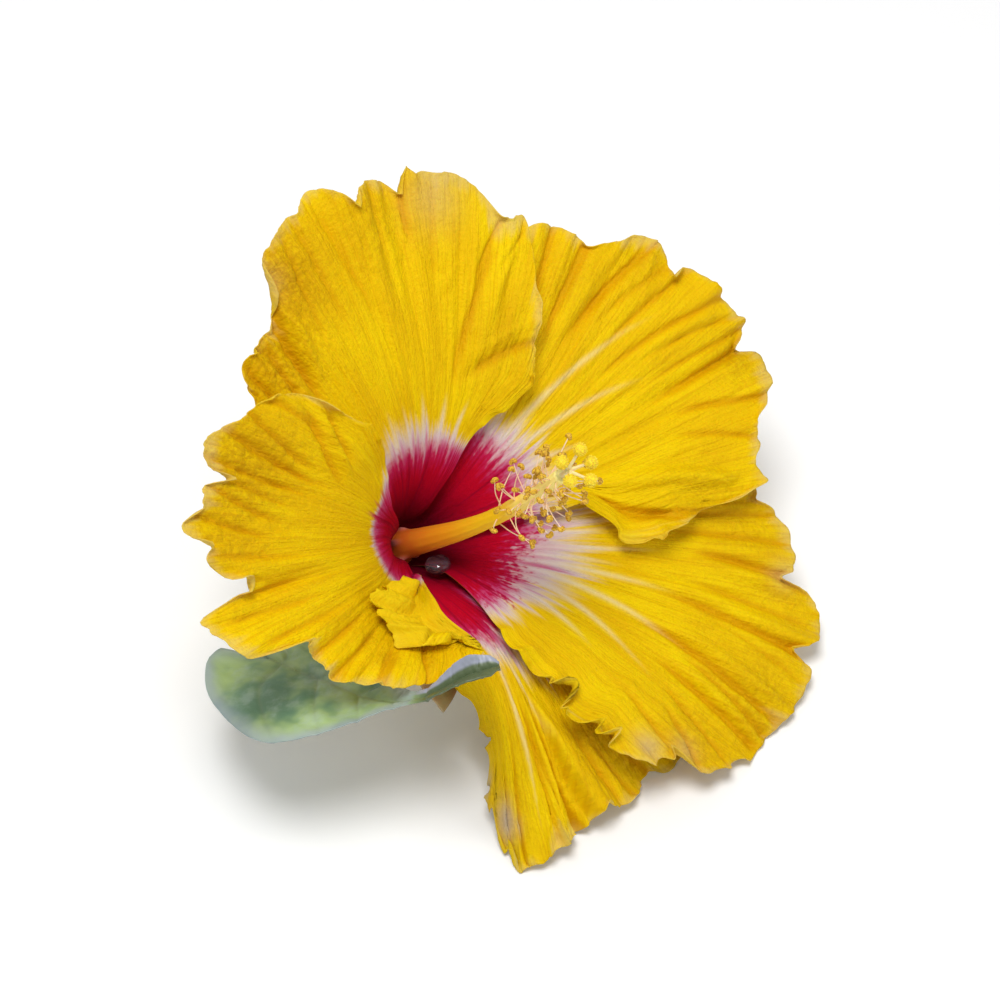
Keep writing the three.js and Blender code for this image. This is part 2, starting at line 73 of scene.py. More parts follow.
# claw and middle are azimuths in degrees; layer says whether each side lies over (+1) or
# under (-1) its neighbour; rise is how far each side stands up; side is the depth of the
# frills along each side. Bearings are degrees from the petal's middle. rim: (bearing,
# length) along the petal's end; edges: for each side, (distance, degrees) that it reaches
# beyond its regular width; eye and halo: (bearing, distance) where crimson and white end
PETALS = {
    "petal_top": dict(
        claw=165.3, middle=163.3, half_width=47, layer=(1, -1), rise=(2, 0), sag=0, phase=0.4,
        side=(1.6, 0.6), speckle=0.25,
        rim=(
            (-47, 41), (-44.5, 44), (-42, 48), (-40, 54.5), (-36.5, 60), (-35, 65), (-33.5, 69.5),
            (-29, 70), (-26, 71), (-22.7, 74), (-20, 76.3), (-15, 77.6), (-11, 78.2), (-8.8, 79.4),
            (-7.8, 76.3), (-5.9, 78), (-1.5, 78.4), (2.4, 78.2), (3.2, 78.2), (7, 80.8), (9.8, 81.6),
            (12.5, 80), (16, 79.5), (20, 78), (23, 76), (25, 72.5), (26.2, 68), (28.8, 65.8), (33, 66.7),
            (37, 68.1), (40, 67.2), (43, 63), (47, 55),
        ),
        edges=(
            ((8, 0), (12, -8), (20, -14), (26, -15), (30, -11), (34, -5), (40, 0)),
            ((0, 9), (8, 12), (16, 16), (24, 16), (32, 10), (40, 3), (48, 0)),
        ),
        eye=((-30, 23.5), (-20, 24), (-2, 23.5), (8, 24), (24, 23.5), (34, 20)),
        halo=((-30, 26), (-20, 27), (-8, 28), (5, 29), (15, 29.5), (24, 29), (34, 25)),
    ),
    "petal_right": dict(
        claw=95.3, middle=95.3, half_width=46, layer=(1, -1), rise=(2, 0), sag=0, phase=1.9,
        side=(2.6, 0.6), speckle=0.4,
        rim=(
            (-46, 49), (-43, 55), (-40, 61), (-38.5, 66), (-37.3, 72), (-36.2, 75.6), (-34.5, 75),
            (-32.5, 74.4), (-28.4, 77.2), (-25, 78.2), (-22.2, 83), (-18.8, 85.5), (-15.6, 87.2),
            (-14, 84.4), (-13, 85.4), (-11.8, 87.0), (-8, 86.8), (-4.6, 85.8), (-0.8, 84.9), (1.5, 84),
            (3.4, 80.6), (6.5, 82.2), (10, 82.2), (14.2, 77.6), (17.5, 74.6), (19.5, 73.8), (25, 73.5),
            (30.7, 71.3), (38, 66), (46, 55),
        ),
        edges=(
            ((8, 0), (20, -12), (31, -13), (37, -11.5), (40, -2.5), (43, 3), (46, 3), (50, 1.5), (54, 0)),
            ((0, 9), (8, 9), (16, 6), (26, 0)),
        ),
        eye=((-21, 25), (0, 26), (23, 27)), halo=((-21, 30), (0, 32), (23, 31)),
    ),
    "petal_lower_right": dict(
        claw=24.3, middle=32.3, half_width=44, layer=(1, -1), rise=(2, 0), sag=0, phase=3.1,
        side=(2.6, 0.6), speckle=1.0,
        rim=(
            (-44, 56), (-40, 61.5), (-37, 66), (-33, 67.6), (-31, 68.4), (-31.4, 70.5), (-29.5, 74),
            (-22.4, 80.8), (-17.6, 84.9), (-13.9, 85.8), (-9.5, 87.5), (-4, 89.4), (-1, 89.6),
            (0.3, 87.4), (1.6, 88.2), (3, 89.8), (7.7, 90.4), (9.8, 88), (11, 83.6), (13, 83), (17, 83.1),
            (20, 82.4), (22.7, 80.4), (24.4, 77.3), (27, 77.4), (34, 71), (44, 54),
        ),
        edges=(
            ((0, 0), (19.5, 3), (27, 8), (33, 11), (37, 9), (42, 6), (49, 8), (54, 1)),
            ((0, 9), (8, 7), (16, 3), (26, 0)),
        ),
        eye=((-45, 22), (-26, 23), (3, 24), (20, 25)), halo=((-44, 26), (-29, 28), (-16, 31), (7, 34)),
    ),
    "petal_bottom": dict(
        claw=-45.7, middle=-18.7, half_width=41, layer=(-1, -1), rise=(0, 0), sag=5.9, phase=4.6,
        side=(2.4, 0.6), speckle=0.5,
        rim=(
            (-41, 54), (-37, 58), (-33, 61), (-30.6, 64.5), (-30.2, 69), (-28.6, 72.6), (-21.2, 74.6),
            (-15.4, 74), (-7.5, 72.6), (0, 71.4), (3.5, 70.4), (6, 69.4), (9, 70.6), (13.7, 72.3),
            (16, 71.3), (19.5, 70.8), (24.6, 74), (32, 70), (41, 54),
        ),
        edges=(
            (
                (0, 8), (5, 11), (8, 13), (14, 20), (20, 25), (26, 17), (32, 6), (38, -3), (43, -7),
                (49, -10), (54, -7), (58, -4),
            ),
            ((0, 8), (6, 13), (14, 17), (22, 12), (34, 0)),
        ),
        eye=((-20, 25), (-7, 29), (4, 27), (12, 19)), halo=((-20, 29), (-7, 34), (6, 35), (12, 32)),
        curl=1.75, curl_width=0.52,
    ),
    "petal_left": dict(
        claw=243.3, middle=253.3, half_width=56, layer=(1, 1), rise=(4.5, 9), sag=0, phase=5.7,
        side=(1.1, 0.8), speckle=0.2,
        rim=(
            (-56, 42), (-52.7, 46.5), (-51, 51.3), (-49.5, 56.3), (-48, 60.8), (-45.7, 64.5),
            (-42.9, 67.6), (-38.3, 70), (-34.1, 75.2), (-31.7, 75.4), (-29.9, 73.8), (-28, 70.8),
            (-26.1, 73.8), (-22.8, 74.6), (-21.3, 76.7), (-19.1, 78.3), (-17.5, 76.9), (-16.3, 73.6),
            (-13.5, 74.3), (-12, 71.6), (-10.2, 68), (-7.4, 65.8), (-6, 69), (-5.2, 74), (-3, 74.7),
            (-0.5, 73.1), (2.3, 72.4), (4.2, 70), (5, 65.5), (6.2, 60.5), (8, 58), (10.7, 56.8),
            (15, 56.2), (18.2, 55.4), (22.9, 53.2), (27, 51.4), (31.3, 50.4), (34.5, 48.5), (40, 45.4),
            (47.6, 41.5), (56, 38),
        ),
        edges=(
            (
                (0, 9), (8, -2.5), (14, -12.5), (18, -18), (22, -19.5), (26, -16), (30, -9), (35, -2.5),
                (40, -1.5), (44, 0),
            ),
            (
                (0, 4), (6, 0), (14, -21), (20, -31), (26, -28), (31, -23), (33, -19), (35, -5), (38, -1),
                (42, 0),
            ),
        ),
        eye=((-52, 28), (-48, 28), (-26, 26.5), (-12, 24.5), (13, 22)),
        halo=((-52, 31), (-48, 30), (-26, 28), (-12, 26.5), (13, 24)),
    ),
}

# Furrows (height below 0) and ridges: bearing at start and at end, where they start and
# end, their width (or widths, on the side of the lower bearings first) and their height
FOLDS = {
    "petal_top": (
        (33, 26, 44, 68, 1.5, -1.4), (30, 23.5, 46, 66, 1.8, 0.8), (38, 33, 46, 63, 1.4, -1.0),
        (42, 39, 46, 66, 1.2, -0.8), (22, 17, 52, 77, 1.2, -0.5), (9, 11, 50, 80, 2.2, 0.45),
        (6, 9, 46, 76, 1.3, -0.45), (-18, -26, 32, 62, 1.6, -0.8), (-24, -31, 34, 66, 1.8, 0.6),
        (-20, -44, 35, 49, 2.6, -0.8), (-22, -43, 40, 53, 2.4, 0.5),
        (-8.4, -8.4, 62, 81, (0.7, 1.2), -0.9), (-12, -14, 50, 76, 1.4, -0.4),
        (-1, -2, 48, 76, 1.3, -0.35), (15, 14, 50, 78, 1.3, -0.4), (-22, -28, 54, 70, 1.0, -0.7),
        (-27, -33, 56, 68, 1.0, -0.6),
    ),
    "petal_right": (
        (20, 19, 46, 75, 1.4, -1.1), (15, 8, 46, 84, 1.5, -1.0), (2, -6, 44, 87, 1.3, -0.8),
        (-8, -12, 54, 88, 1.1, -0.7), (-13, -14, 52, 87, 1.2, -1.0), (-17, -22, 58, 82, 1.3, -0.9),
        (-21, -28, 56, 77, 1.2, -0.7), (-3, -9, 56, 87, 1.0, -0.6), (6, 1, 50, 84, 1.2, -0.6),
        (11, 4, 54, 82, 1.2, -0.5), (26, 26, 44, 73, 1.4, -0.8), (17.5, 13.5, 48, 78, 2.2, 0.7),
        (-1, -8, 56, 87, 1.6, 0.5), (-11, -13, 62, 89, 1.4, 0.6), (-26, -34, 36, 66, (2.2, 2.8), 2.1),
        (-32, -41, 36, 54, 1.4, -1.4), (-38, -40, 40, 60, 1.1, -0.9), (-42, -45, 39, 53, 1.3, 0.9),
        (23, 23, 46, 74, 1.6, 0.7),
    ),
    "petal_lower_right": (
        (-5, -12, 42, 87, 1.6, -1.2), (-3, -9.5, 48, 88, 1.8, 0.8), (4, 0, 46, 89, 1.5, -1.2),
        (15, 11, 54, 85, 1.6, -1.1), (13, 9, 56, 84, 1.6, 0.7), (-13, -17, 50, 83, 1.4, -1.1),
        (-22, -29, 58, 76, 1.1, -0.9), (-9, -15, 56, 86, 1.1, -0.8), (-18, -24, 56, 80, 1.1, -0.8),
        (8, 5, 52, 86, 1.3, -0.6), (20, 17, 46, 82, 1.5, -0.7), (-26, -31, 46, 70, 1.2, -0.6),
        (6, 2, 52, 88, 1.6, 0.6), (24, 22, 44, 80, 1.4, -0.6), (-11, -16, 54, 84, 1.4, 0.6),
        (1, -4, 60, 88, 1.0, -0.5),
    ),
    "petal_bottom": (
        (-0.5, 4.4, 40, 72, (0.5, 4.5), 3.1), (-3.6, 1.6, 42, 72, (1.8, 0.9), -2.2),
        (6, 10, 44, 70, 1.4, -0.7), (10, 14, 50, 72, 1.4, -0.7), (-8, -9, 40, 72, 1.5, -0.6),
        (-18, -20, 44, 72, 1.5, -0.7), (-24, -25, 48, 72, 1.3, -0.7), (-13, -15, 44, 72, 1.8, 0.6),
        (17, 20, 48, 72, 1.4, -0.7), (-9, -6, 34, 64, 1.0, -0.5),
    ),
    "petal_left": (
        (-31, -36, 40, 72, 1.1, -1.0), (-28, -31, 44, 74, 1.0, -0.8), (-34, -40, 44, 69, 1.0, -0.8),
        (-20, -27, 50, 74, 1.0, -0.9), (-17, -22, 54, 76, 1.0, -0.8), (-24, -29, 48, 72, 0.9, -0.7),
        (-33, -46, 38, 55, 1.6, -0.8), (-40, -50, 39, 52, 1.5, -0.7), (-37, -48, 38, 53, 1.6, 0.8),
        (-1, -3, 40, 68, 1.3, -0.6), (-12, -15, 44, 74, 1.3, -0.6), (5, 3, 38, 64, 1.3, -0.6),
        (12, 11, 34, 57, 1.3, -0.8), (19, 18, 36, 55, 1.2, -0.7), (26, 27, 38, 52, 1.2, -0.8),
        (-7, -7, 46, 67, 1.0, -0.9), (33, 38, 36, 47, 1.0, -0.8), (-45, -44, 44, 66, 1.2, -0.6),
    ),
}

# Long pale veins: bearing at 22 mm, bearing at the end, and where they end
PALE_VEINS = {
    "petal_top": ((16, 15, 36), (6, 7, 35), (-4, -4, 36), (-14, -16, 35), (-24, -27, 34)),
    "petal_right": ((16, 1, 70), (7, -7, 60), (21, 21, 42), (-3, -12, 42), (11, 9, 38), (-12, -20, 40)),
    "petal_lower_right": (
        (4, 4, 56), (-1, -8, 62), (-6, -19, 56), (-15, -23, 43), (12, 14, 52), (8, 8, 44), (18, 21, 44),
    ),
    "petal_bottom": ((-9, 1, 52), (-11, -14, 68), (0, 8, 46), (4, 14, 44)),
    "petal_left": (),
}

# Darker, finely wrinkled patches, and on petal_left the last three are painted shadow beneath the
# turned-over flap: bearing, distance, radius in mm, strength
DARK_PATCHES_AND_SHADOW = {
    "petal_top": (
        (21, 71, 12, 1.3), (34, 62, 13, 1.1), (0, 73, 12, 0.6), (-14, 76, 8, 0.4), (-36, 46, 8, 0.5),
    ),
    "petal_right": ((-15, 83, 8, 0.7), (8, 78, 8, 0.4), (-37, 60, 8, 0.6), (20, 64, 8, 0.4)),
    "petal_lower_right": ((-10, 82, 12, 0.8), (-26, 72, 9, 0.8), (6, 84, 9, 0.4), (20, 74, 10, 0.5)),
    "petal_bottom": ((-28, 66, 10, 0.8), (6, 62, 8, 0.4), (-30, 46, 6, 0.5)),
    "petal_left": (
        (-31, 66, 13, 1.1), (-20, 70, 11, 0.9), (-42, 60, 6, 0.3), (-46, 48, 4, 0.5), (-6, 68, 6, 0.4),
        # painted shadow beneath the flap
        (18, 42.5, 2.5, 0.9), (26, 44.5, 2.8, 0.9), (34, 41, 3, 0.8),
    ),
}

# Patches that have faded to a greyish cream, in the same way
FADED_PATCHES = {
    "petal_bottom": ((-26, 64, 3.6, 0.9), (-36, 56, 2.6, 0.8), (-21, 66, 2.2, 0.5), (-38, 51, 1.6, 0.5)),
    "petal_lower_right": ((-34, 64, 3, 0.45), (-28, 70, 3, 0.25), (12, 81, 3, 0.3)),
    "petal_top": ((-14, 74, 6, 0.25), (24, 73, 3, 0.3)),
}

# Part of a margin that is turned over onto its petal: its side, where the fold starts and
# ends, and for places along the fold the (bearing, distance) that the free edge reaches
FLAPS = {
    "petal_left": dict(
        side=1, start=19.2, end=38.5,
        free=(
            (19, 16, 22), (21, 13, 26), (23.5, 10.3, 31.5), (25.4, 8.8, 35.6), (26.6, 9.4, 37.6),
            (27.5, 12, 37.4), (28.2, 14, 37.2), (29, 16, 38.6), (29.8, 18.2, 39.2), (30.6, 20.2, 39.2),
            (31.3, 22.6, 39.6), (31.9, 25.4, 40.4), (32.5, 28.4, 41.4), (33.1, 30.8, 41.2),
            (33.8, 32.4, 39.4), (34.6, 34, 37.2), (36, 40, 36.6), (38.5, 47, 38),
        ),
    ),
}
FLAP_SHARE = 0.24  # of the half petal, at the flap's widest

# Short stretches of margin that roll up over the petal, or under it where the width is below
# 0: side (-1 or 1, 0 for the end), place (distance, or bearing at the end), half the length
# (mm, or degrees at the end) and the width that rolls
CURLS = {
    "petal_top": (
        (-1, 65, 2.6, 3.0), (-1, 60, 1.6, -1.8), (-1, 55, 2.4, 2.8), (-1, 50.5, 1.4, -1.6),
        (-1, 46.5, 1.8, 3.2), (-1, 42, 1.4, 2.6), (0, 3, 1.2, 3.2), (0, 24.5, 2.0, 3.0),
        (0, -8, 1.2, 2.4), (0, 36, 2.0, 2.0), (0, -27, 2.4, 2.2),
    ),
    "petal_right": (
        (-1, 42, 1.2, -1.6), (-1, 47.5, 1.4, 1.8), (-1, 54, 1.6, 2.6), (-1, 60.5, 1.6, 3.6),
        (0, -37, 1.6, 2.6), (0, -13.2, 0.9, 3.0), (0, 3.4, 1.0, 2.6), (0, 19, 1.8, 2.2),
        (0, -24, 1.5, 2.2),
    ),
    "petal_lower_right": (
        (-1, 38.5, 1.5, -1.8), (-1, 41.5, 1.2, 2.2), (-1, 45.6, 1.7, 6.0), (-1, 49, 1.2, 2.0),
        (-1, 53.2, 1.1, 3.2), (-1, 58, 1.3, 5.0), (-1, 62, 1.4, -1.6), (0, -31, 1.4, 3.0),
        (0, 0.5, 0.8, 3.2), (0, 11.2, 1.3, 3.4), (0, 24.5, 1.5, 2.4), (0, -22, 1.5, -2.0),
    ),
    "petal_bottom": (
        (-1, 46.7, 1.2, 6.5), (-1, 51.5, 1.6, 1.6), (-1, 56.5, 1.5, 6.5), (-1, 60, 1.4, 1.8),
        (0, -28, 2.2, 5.0), (0, -21, 1.4, 1.6), (0, 5, 1.6, 2.2), (0, 13, 2.0, 1.8),
    ),
    "petal_left": (
        (0, -9, 1.5, 3.0), (0, -17, 1.2, 2.4), (0, -28, 1.2, 3.0), (0, -44, 1.6, 2.2),
        (0, -50.5, 1.2, 2.2), (0, 6.5, 1.4, 3.0), (0, 26, 1.4, 1.8), (0, -22, 1.4, 2.2),
        (-1, 46.5, 1.0, 2.0), (-1, 40, 1.6, 1.6),
    ),
}
CURL_RADIUS = 1.0
LOOSE_CURL = 1.1  # width that rolls here and there along a petal's end

# ---- column, stamens and pistil ---------------------------------------------------------
COLUMN_LENGTH = 60.0
COLUMN_BEND_START = 18.0
COLUMN_BEND = 0.003
COLUMN_BEND_AZIMUTH = 165.0
COLUMN_SIDES = 48
COLUMN_FOOT = (-0.6, 1.5, 0.85)  # its height, how far it spreads along the column, and its size
COLUMN_SWELLINGS = (3.3, 1.6, 0.70)  # the same for the five swellings above it
FIRST_STAMEN = 35.0
LAST_STAMEN = 58.0
STAMENS = 38
MORE_STAMENS = 34  # short ones without CAD nodes, near the column's end
SHORT_STAMEN_SEED = 60
GOLDEN_ANGLE = 137.508
STYLE_END = 62.5
STIGMAS = 5
STIGMA_AZIMUTH = 70.0
PAD_RADIUS = 1.15
PAPILLAE = 150  # on each stigma's pad
PAD_SEED = 300

DROP_DISTANCE = 9.2  # drop of water: its place on the funnel
DROP_AZIMUTH = -6.0
DROP_RADIUS = 2.6
DROP_FLATTENING = 0.35

# ---- pedicel, twig and leaf, in mm from the receptacle along the part's axes --------------
STALK_POINTS = 90
PEDICEL_PATH = ((-0.6, 0.5, -0.9), (-10, 7.3, -13.5), (-15.5, 12.5, -20.6), (-26.4, 20.2, -25.7))
PEDICEL_RADII = (2.3, 1.7, 1.5, 1.45, 1.5, 1.5, 1.55, 1.9, 1.6, 1.6, 2.1)
TWIG_PATH = ((-29, 12.2, -26.2), (-27, 22, -26.2), (-22.5, 40, -26.2), (-16, 57, -26.2))
TWIG_RADII = (2.2, 2.45, 2.65, 2.5, 2.4, 2.4, 2.45, 2.5, 2.45, 2.5, 2.5)
BUD_POINT = 18  # of the twig's points; the bud's path is given from there
BUD_PATH = ((-1.2, -0.3, 1.6), (-2.0, -0.9, 3.4), (-2.3, -1.9, 5.4))
LEAF_SCARS = ((62, (-1.7, -0.5, 1.0), 1.3), (40, (1.6, 0.4, 1.2), 1.0))  # point, way, size
PETIOLE_PATH = (
    (-28.3, 14.8, -26.0), (-31, 2, -22.8), (-30.5, -13, -12.5), (-25.5, -25.8, -3.4), (-18.6, -33.6, 1.7),
)
PETIOLE_PLACES = (0, 0.06, 0.12, 0.8, 1)
PETIOLE_RADII = (1.6, 1.35, 0.95, 0.9, 0.45)
LEAF_MIDRIB = (
    (-24.5, -28.8, -0.2), (-13.6, -38.1, 4.4), (-2.2, -47.2, 9.6),
    (6.6, -52.4, 17.6), (14.1, -51.4, 22.0), (20.4, -50.5, 24.2),
)
LEAF_UPPER_WIDTH = (7, 11, 12, 7.0, 2.3, 1.5, 2.3, 2.7, 1.9)
LEAF_LOWER_WIDTH = (9.5, 16.2, 19, 10.5, 1.9, 1.6, 3, 3, 2.2)
LEAF_BASE_LOBE = 10.8
LEAF_COLUMNS = 101
LEAF_ROWS = 160
LEAF_THICKNESS = 0.4
LEAF_LENGTH = 62.0
LEAF_VEIN_SPACING = 8.5

BRACTEOLES = 7
CALYX_TUBE = 13.0
CALYX_LOBE = 24.0
CALYX_LENGTH = CALYX_TUBE + CALYX_LOBE
CALYX_LOBES = 5
CALYX_RIBS = 15
CALYX_SEGMENTS = 200
CALYX_ROWS = 46

# ---- lights and camera ------------------------------------------------------------------
LIGHTS = (  # name, place in m, diameter in m, power in W
    ("key", (-0.05, -0.25, 0.95), 0.4, 6.6),
    ("fill", (0.8, -0.4, 0.5), 0.8, 1.3),
    ("back", (-0.5, 0.6, 0.7), 0.8, 1.4),
)
LIT_POINT = (0, 0, 0.04)
STUDIO_STRENGTH = 0.42
FLOOR_SIZE = 6.0  # m
SENSOR_WIDTH = 36.0  # mm
CAMERA_ELEVATION = 48.0
CAMERA_DISTANCE = 0.750
VIEW_WIDTH = 0.200  # width of the view at the receptacle
VIEW_CENTRE = (20.6, 6.99, 6.29)  # mm from the receptacle, along the part's axes
VIEW_DEPTH = (0.01, 20.0)  # m: nearest and farthest point that the camera sees


# ==== small helpers ======================================================================

def smoothstep(value, low, high):
    t = np.clip((value - low) / (high - low), 0, 1)
    return t * t * (3 - 2 * t)


def bell(offset, width):
    """Smooth hump, 1 in its middle, that has fallen to 0.37 at its width."""
    return np.exp(-((offset / width) ** 2))


def cubic(first, last, start, end, t):
    """Value at t (0 to 1) between two values, with the slopes that it starts and ends with."""
    cubed = (2 * first - 2 * last + start + end) * t**3
    return cubed + (-3 * first + 3 * last - 2 * start - end) * t**2 + start * t + first


def smooth_value(values, u):
    """Value at u (0 to 1) of a smooth line through evenly spaced values."""
    points = np.array([values[0], *values, values[-1]], float)
    place = np.clip(u, 0, 1) * (len(values) - 1)
    index = np.clip(np.floor(place).astype(int), 0, len(values) - 2)
    t = place - index
    p0, p1, p2, p3 = (points[index + k] for k in range(4))
    return cubic(p1, p2, (p2 - p0) / 2, (p3 - p1) / 2, t)


def smooth_line(points, value):
    """Smooth curve through (place, height) pairs, level beyond its ends."""
    places, heights = np.array(points, float).T
    slopes = np.gradient(heights, places)
    value = np.clip(value, places[0], places[-1])
    index = np.clip(np.searchsorted(places, value, side="right") - 1, 0, len(places) - 2)
    step = places[index + 1] - places[index]
    t = (value - places[index]) / step
    rise = heights[index + 1] - heights[index]
    first, last = slopes[index] * step, slopes[index + 1] * step
    cubed = (first + last - 2 * rise) * t**3
    return heights[index] + first * t + (3 * rise - 2 * first - last) * t**2 + cubed


def noise(x, y, seed):
    """Smooth two-dimensional noise between -1 and 1, with cells one unit wide."""
    table = np.random.default_rng(seed).uniform(-1, 1, (64, 64))
    x, y = np.broadcast_arrays(np.asarray(x, float), np.asarray(y, float))
    ix, iy = np.floor(x).astype(int), np.floor(y).astype(int)
    fx, fy = smoothstep(x - ix, 0, 1), smoothstep(y - iy, 0, 1)
    near = table[ix % 64, iy % 64] * (1 - fx) + table[(ix + 1) % 64, iy % 64] * fx
    far = table[ix % 64, (iy + 1) % 64] * (1 - fx) + table[(ix + 1) % 64, (iy + 1) % 64] * fx
    return near * (1 - fy) + far * fy


def fractal(x, y, seed, octaves=3):
    total = 0
    for octave in range(octaves):
        total = total + noise(x * 2**octave, y * 2**octave, seed + octave) / 2**octave
    return total


def unit(vectors):
    """The same vectors, one unit long."""
    return vectors / np.maximum(np.linalg.norm(vectors, axis=-1, keepdims=True), 1e-9)


def round_angles(count):
    return np.linspace(0, 2 * np.pi, count, endpoint=False)


def out_at(azimuth):
    """Unit vector across the blossom's axis."""
    return np.array([np.cos(azimuth), np.sin(azimuth), 0])


def turn_z(angle):
    c, s = np.cos(angle), np.sin(angle)
    return np.array([[c, -s, 0], [s, c, 0], [0, 0, 1]])


def turn_y(angle):
    c, s = np.cos(angle), np.sin(angle)
    return np.array([[c, 0, s], [0, 1, 0], [-s, 0, c]])


UP = np.array([0.0, 0, 1])
BLOSSOM_TURN = turn_z(np.radians(AXIS_HEADING)) @ turn_y(np.radians(AXIS_TILT))


def find_receptacle():
    """The staminal tube's lower rim lies 0.1 mm along the axis from the receptacle."""
    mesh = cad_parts["staminal_tube"].data
    points = np.zeros(len(mesh.vertices) * 3)
    mesh.vertices.foreach_get("co", points)
    local = points.reshape(-1, 3) @ BLOSSOM_TURN
    rim = local[local[:, 2] < local[:, 2].min() + 0.05 * MM]
    middle = (rim.min(0) + rim.max(0)) / 2
    middle[2] = rim[:, 2].min() - 0.1 * MM
    return BLOSSOM_TURN @ middle


RECEPTACLE = find_receptacle()


def from_blossom(points):
    """Blossom frame in mm to the part's frame in metres."""
    return RECEPTACLE + (np.asarray(points, float) @ BLOSSOM_TURN.T) * MM


def from_receptacle(points):
    """The part's axes about the receptacle, in mm, to the part's frame in metres."""
    return RECEPTACLE + np.asarray(points, float) * MM


# ==== meshes =============================================================================

def make_piece(name, points, faces, material, nodes, attributes=None):
    """A smooth mesh piece that rides with the flower and stands for CAD nodes."""
    mesh = bpy.data.meshes.new(name)
    counts = np.array([len(face) for face in faces], np.int32)
    mesh.vertices.add(len(points))
    mesh.vertices.foreach_set("co", np.asarray(points, np.float32).ravel())
    mesh.loops.add(int(counts.sum()))
    mesh.loops.foreach_set("vertex_index", np.concatenate(faces).astype(np.int32).ravel())
    mesh.polygons.add(len(faces))
    mesh.polygons.foreach_set("loop_start", (np.cumsum(counts) - counts).astype(np.int32))
    mesh.polygons.foreach_set("loop_total", counts)
    mesh.polygons.foreach_set("use_smooth", np.ones(len(faces), bool))
    mesh.update(calc_edges=True)
    mesh.validate()
    for key, values in (attributes or {}).items():
        layer = mesh.attributes.new(key, "FLOAT", "POINT")
        layer.data.foreach_set("value", np.asarray(values, np.float32).ravel())
    mesh.materials.append(material)
    piece = bpy.data.objects.new(name, mesh)
    bpy.context.scene.collection.objects.link(piece)
    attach(piece, "root")
    if nodes:
        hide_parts(*nodes)


def sheet_faces(columns, rows):
    """Faces of a closed sheet: an upper grid, a lower grid after it, and the border between."""
    offset = columns * rows
    i, j = np.meshgrid(np.arange(columns - 1), np.arange(rows - 1), indexing="ij")
    corner = (i * rows + j).ravel()
    upper = np.stack([corner, corner + rows, corner + rows + 1, corner + 1], 1)
    lower = np.stack([corner, corner + 1, corner + rows + 1, corner + rows], 1) + offset
    border = np.concatenate([
        np.arange(columns - 1) * rows,
        (columns - 1) * rows + np.arange(rows - 1),
        np.arange(columns - 1, 0, -1) * rows + rows - 1,
        np.arange(rows - 1, 0, -1),
    ])
    after = np.roll(border, -1)
    edge = np.stack([border, border + offset, after + offset, after], 1)
    return np.concatenate([upper, lower, edge])


def sheet_normals(grid):
    """Unit normals of a grid of points, on the side that its upper faces look to."""
    return unit(np.cross(np.gradient(grid, axis=0), np.gradient(grid, axis=1)))


def sheet_points(first, second):
    """Points of a closed sheet's two grids, in the order that sheet_faces takes them."""
    return np.concatenate([first.reshape(-1, 3), second.reshape(-1, 3)])


def grid_places(columns, rows, first=-1, last=1):
    """Places across (first to last) and along (0 to 1) a sheet, one for each grid point."""
    return np.meshgrid(np.linspace(first, last, columns), np.linspace(0, 1, rows), indexing="ij")


def tube_rings(path, radii, sides):
    """Rings of points round a path, without twist."""
    path = np.asarray(path, float)
    tangents = unit(np.gradient(path, axis=0))
    helper = UP if abs(tangents[0][2]) < 0.9 else np.array([1.0, 0, 0])
    side = np.cross(tangents[0], helper)
    angles = round_angles(sides)
    rings = []
    for point, tangent, radius in zip(path, tangents, radii):
        side = unit(side - tangent * (side @ tangent))
        up = np.cross(tangent, side)
        ring = np.outer(np.cos(angles), side) + np.outer(np.sin(angles), up)
        rings.append(point + ring * np.asarray(radius).reshape(-1, 1))
    return np.array(rings)


def tube_mesh(rings):
    """Closed tube: its points, faces, and each point's place along it (0 to 1)."""
    count, sides = rings.shape[:2]
    points = np.concatenate([rings.reshape(-1, 3), rings[0].mean(0)[None], rings[-1].mean(0)[None]])
    faces = []
    for j in range(count - 1):
        for i in range(sides):
            k = (i + 1) % sides
            faces.append((j * sides + i, j * sides + k, (j + 1) * sides + k, (j + 1) * sides + i))
    start, end = count * sides, count * sides + 1
    last = (count - 1) * sides
    for i in range(sides):
        k = (i + 1) % sides
        faces.append((k, i, start))
        faces.append((last + i, last + k, end))
    place = np.concatenate([np.repeat(np.linspace(0, 1, count), sides), [0, 1]])
    return points, faces, place


def with_value(mesh, value):
    """Points and faces of a tube or ball, and the same attribute value for all its points."""
    return mesh[0], mesh[1], np.full(len(mesh[0]), float(value))


def joined(parts):
    """One list of points and faces from several, with their attribute values."""
    points, faces, values, offset = [], [], [], 0
    for part_points, part_faces, part_values in parts:
        points.append(part_points)
        faces.extend([tuple(int(v) + offset for v in face) for face in part_faces])
        values.append(part_values)
        offset += len(part_points)
    return np.concatenate(points), faces, np.concatenate(values)


def curve_points(controls, count):
    """Points along a smooth curve through the controls (centripetal Catmull-Rom)."""
    controls = np.asarray(controls, float)
    first = 2 * controls[0] - controls[1]
    last = 2 * controls[-1] - controls[-2]
    knots = np.vstack([first, controls, last])
    result = []
    for u in np.linspace(0, 1, count) * (len(controls) - 1):
        index = min(int(u), len(controls) - 2)
        p = knots[index:index + 4]
        gaps = np.linalg.norm(np.diff(p, axis=0), axis=1) ** 0.5
        t = u - index
        start = (p[1] - p[0]) / gaps[0] - (p[2] - p[0]) / (gaps[0] + gaps[1]) + (p[2] - p[1]) / gaps[1]
        end = (p[2] - p[1]) / gaps[1] - (p[3] - p[1]) / (gaps[1] + gaps[2]) + (p[3] - p[2]) / gaps[2]
        result.append(cubic(p[1], p[2], start * gaps[1], end * gaps[1], t))
    return np.array(result)


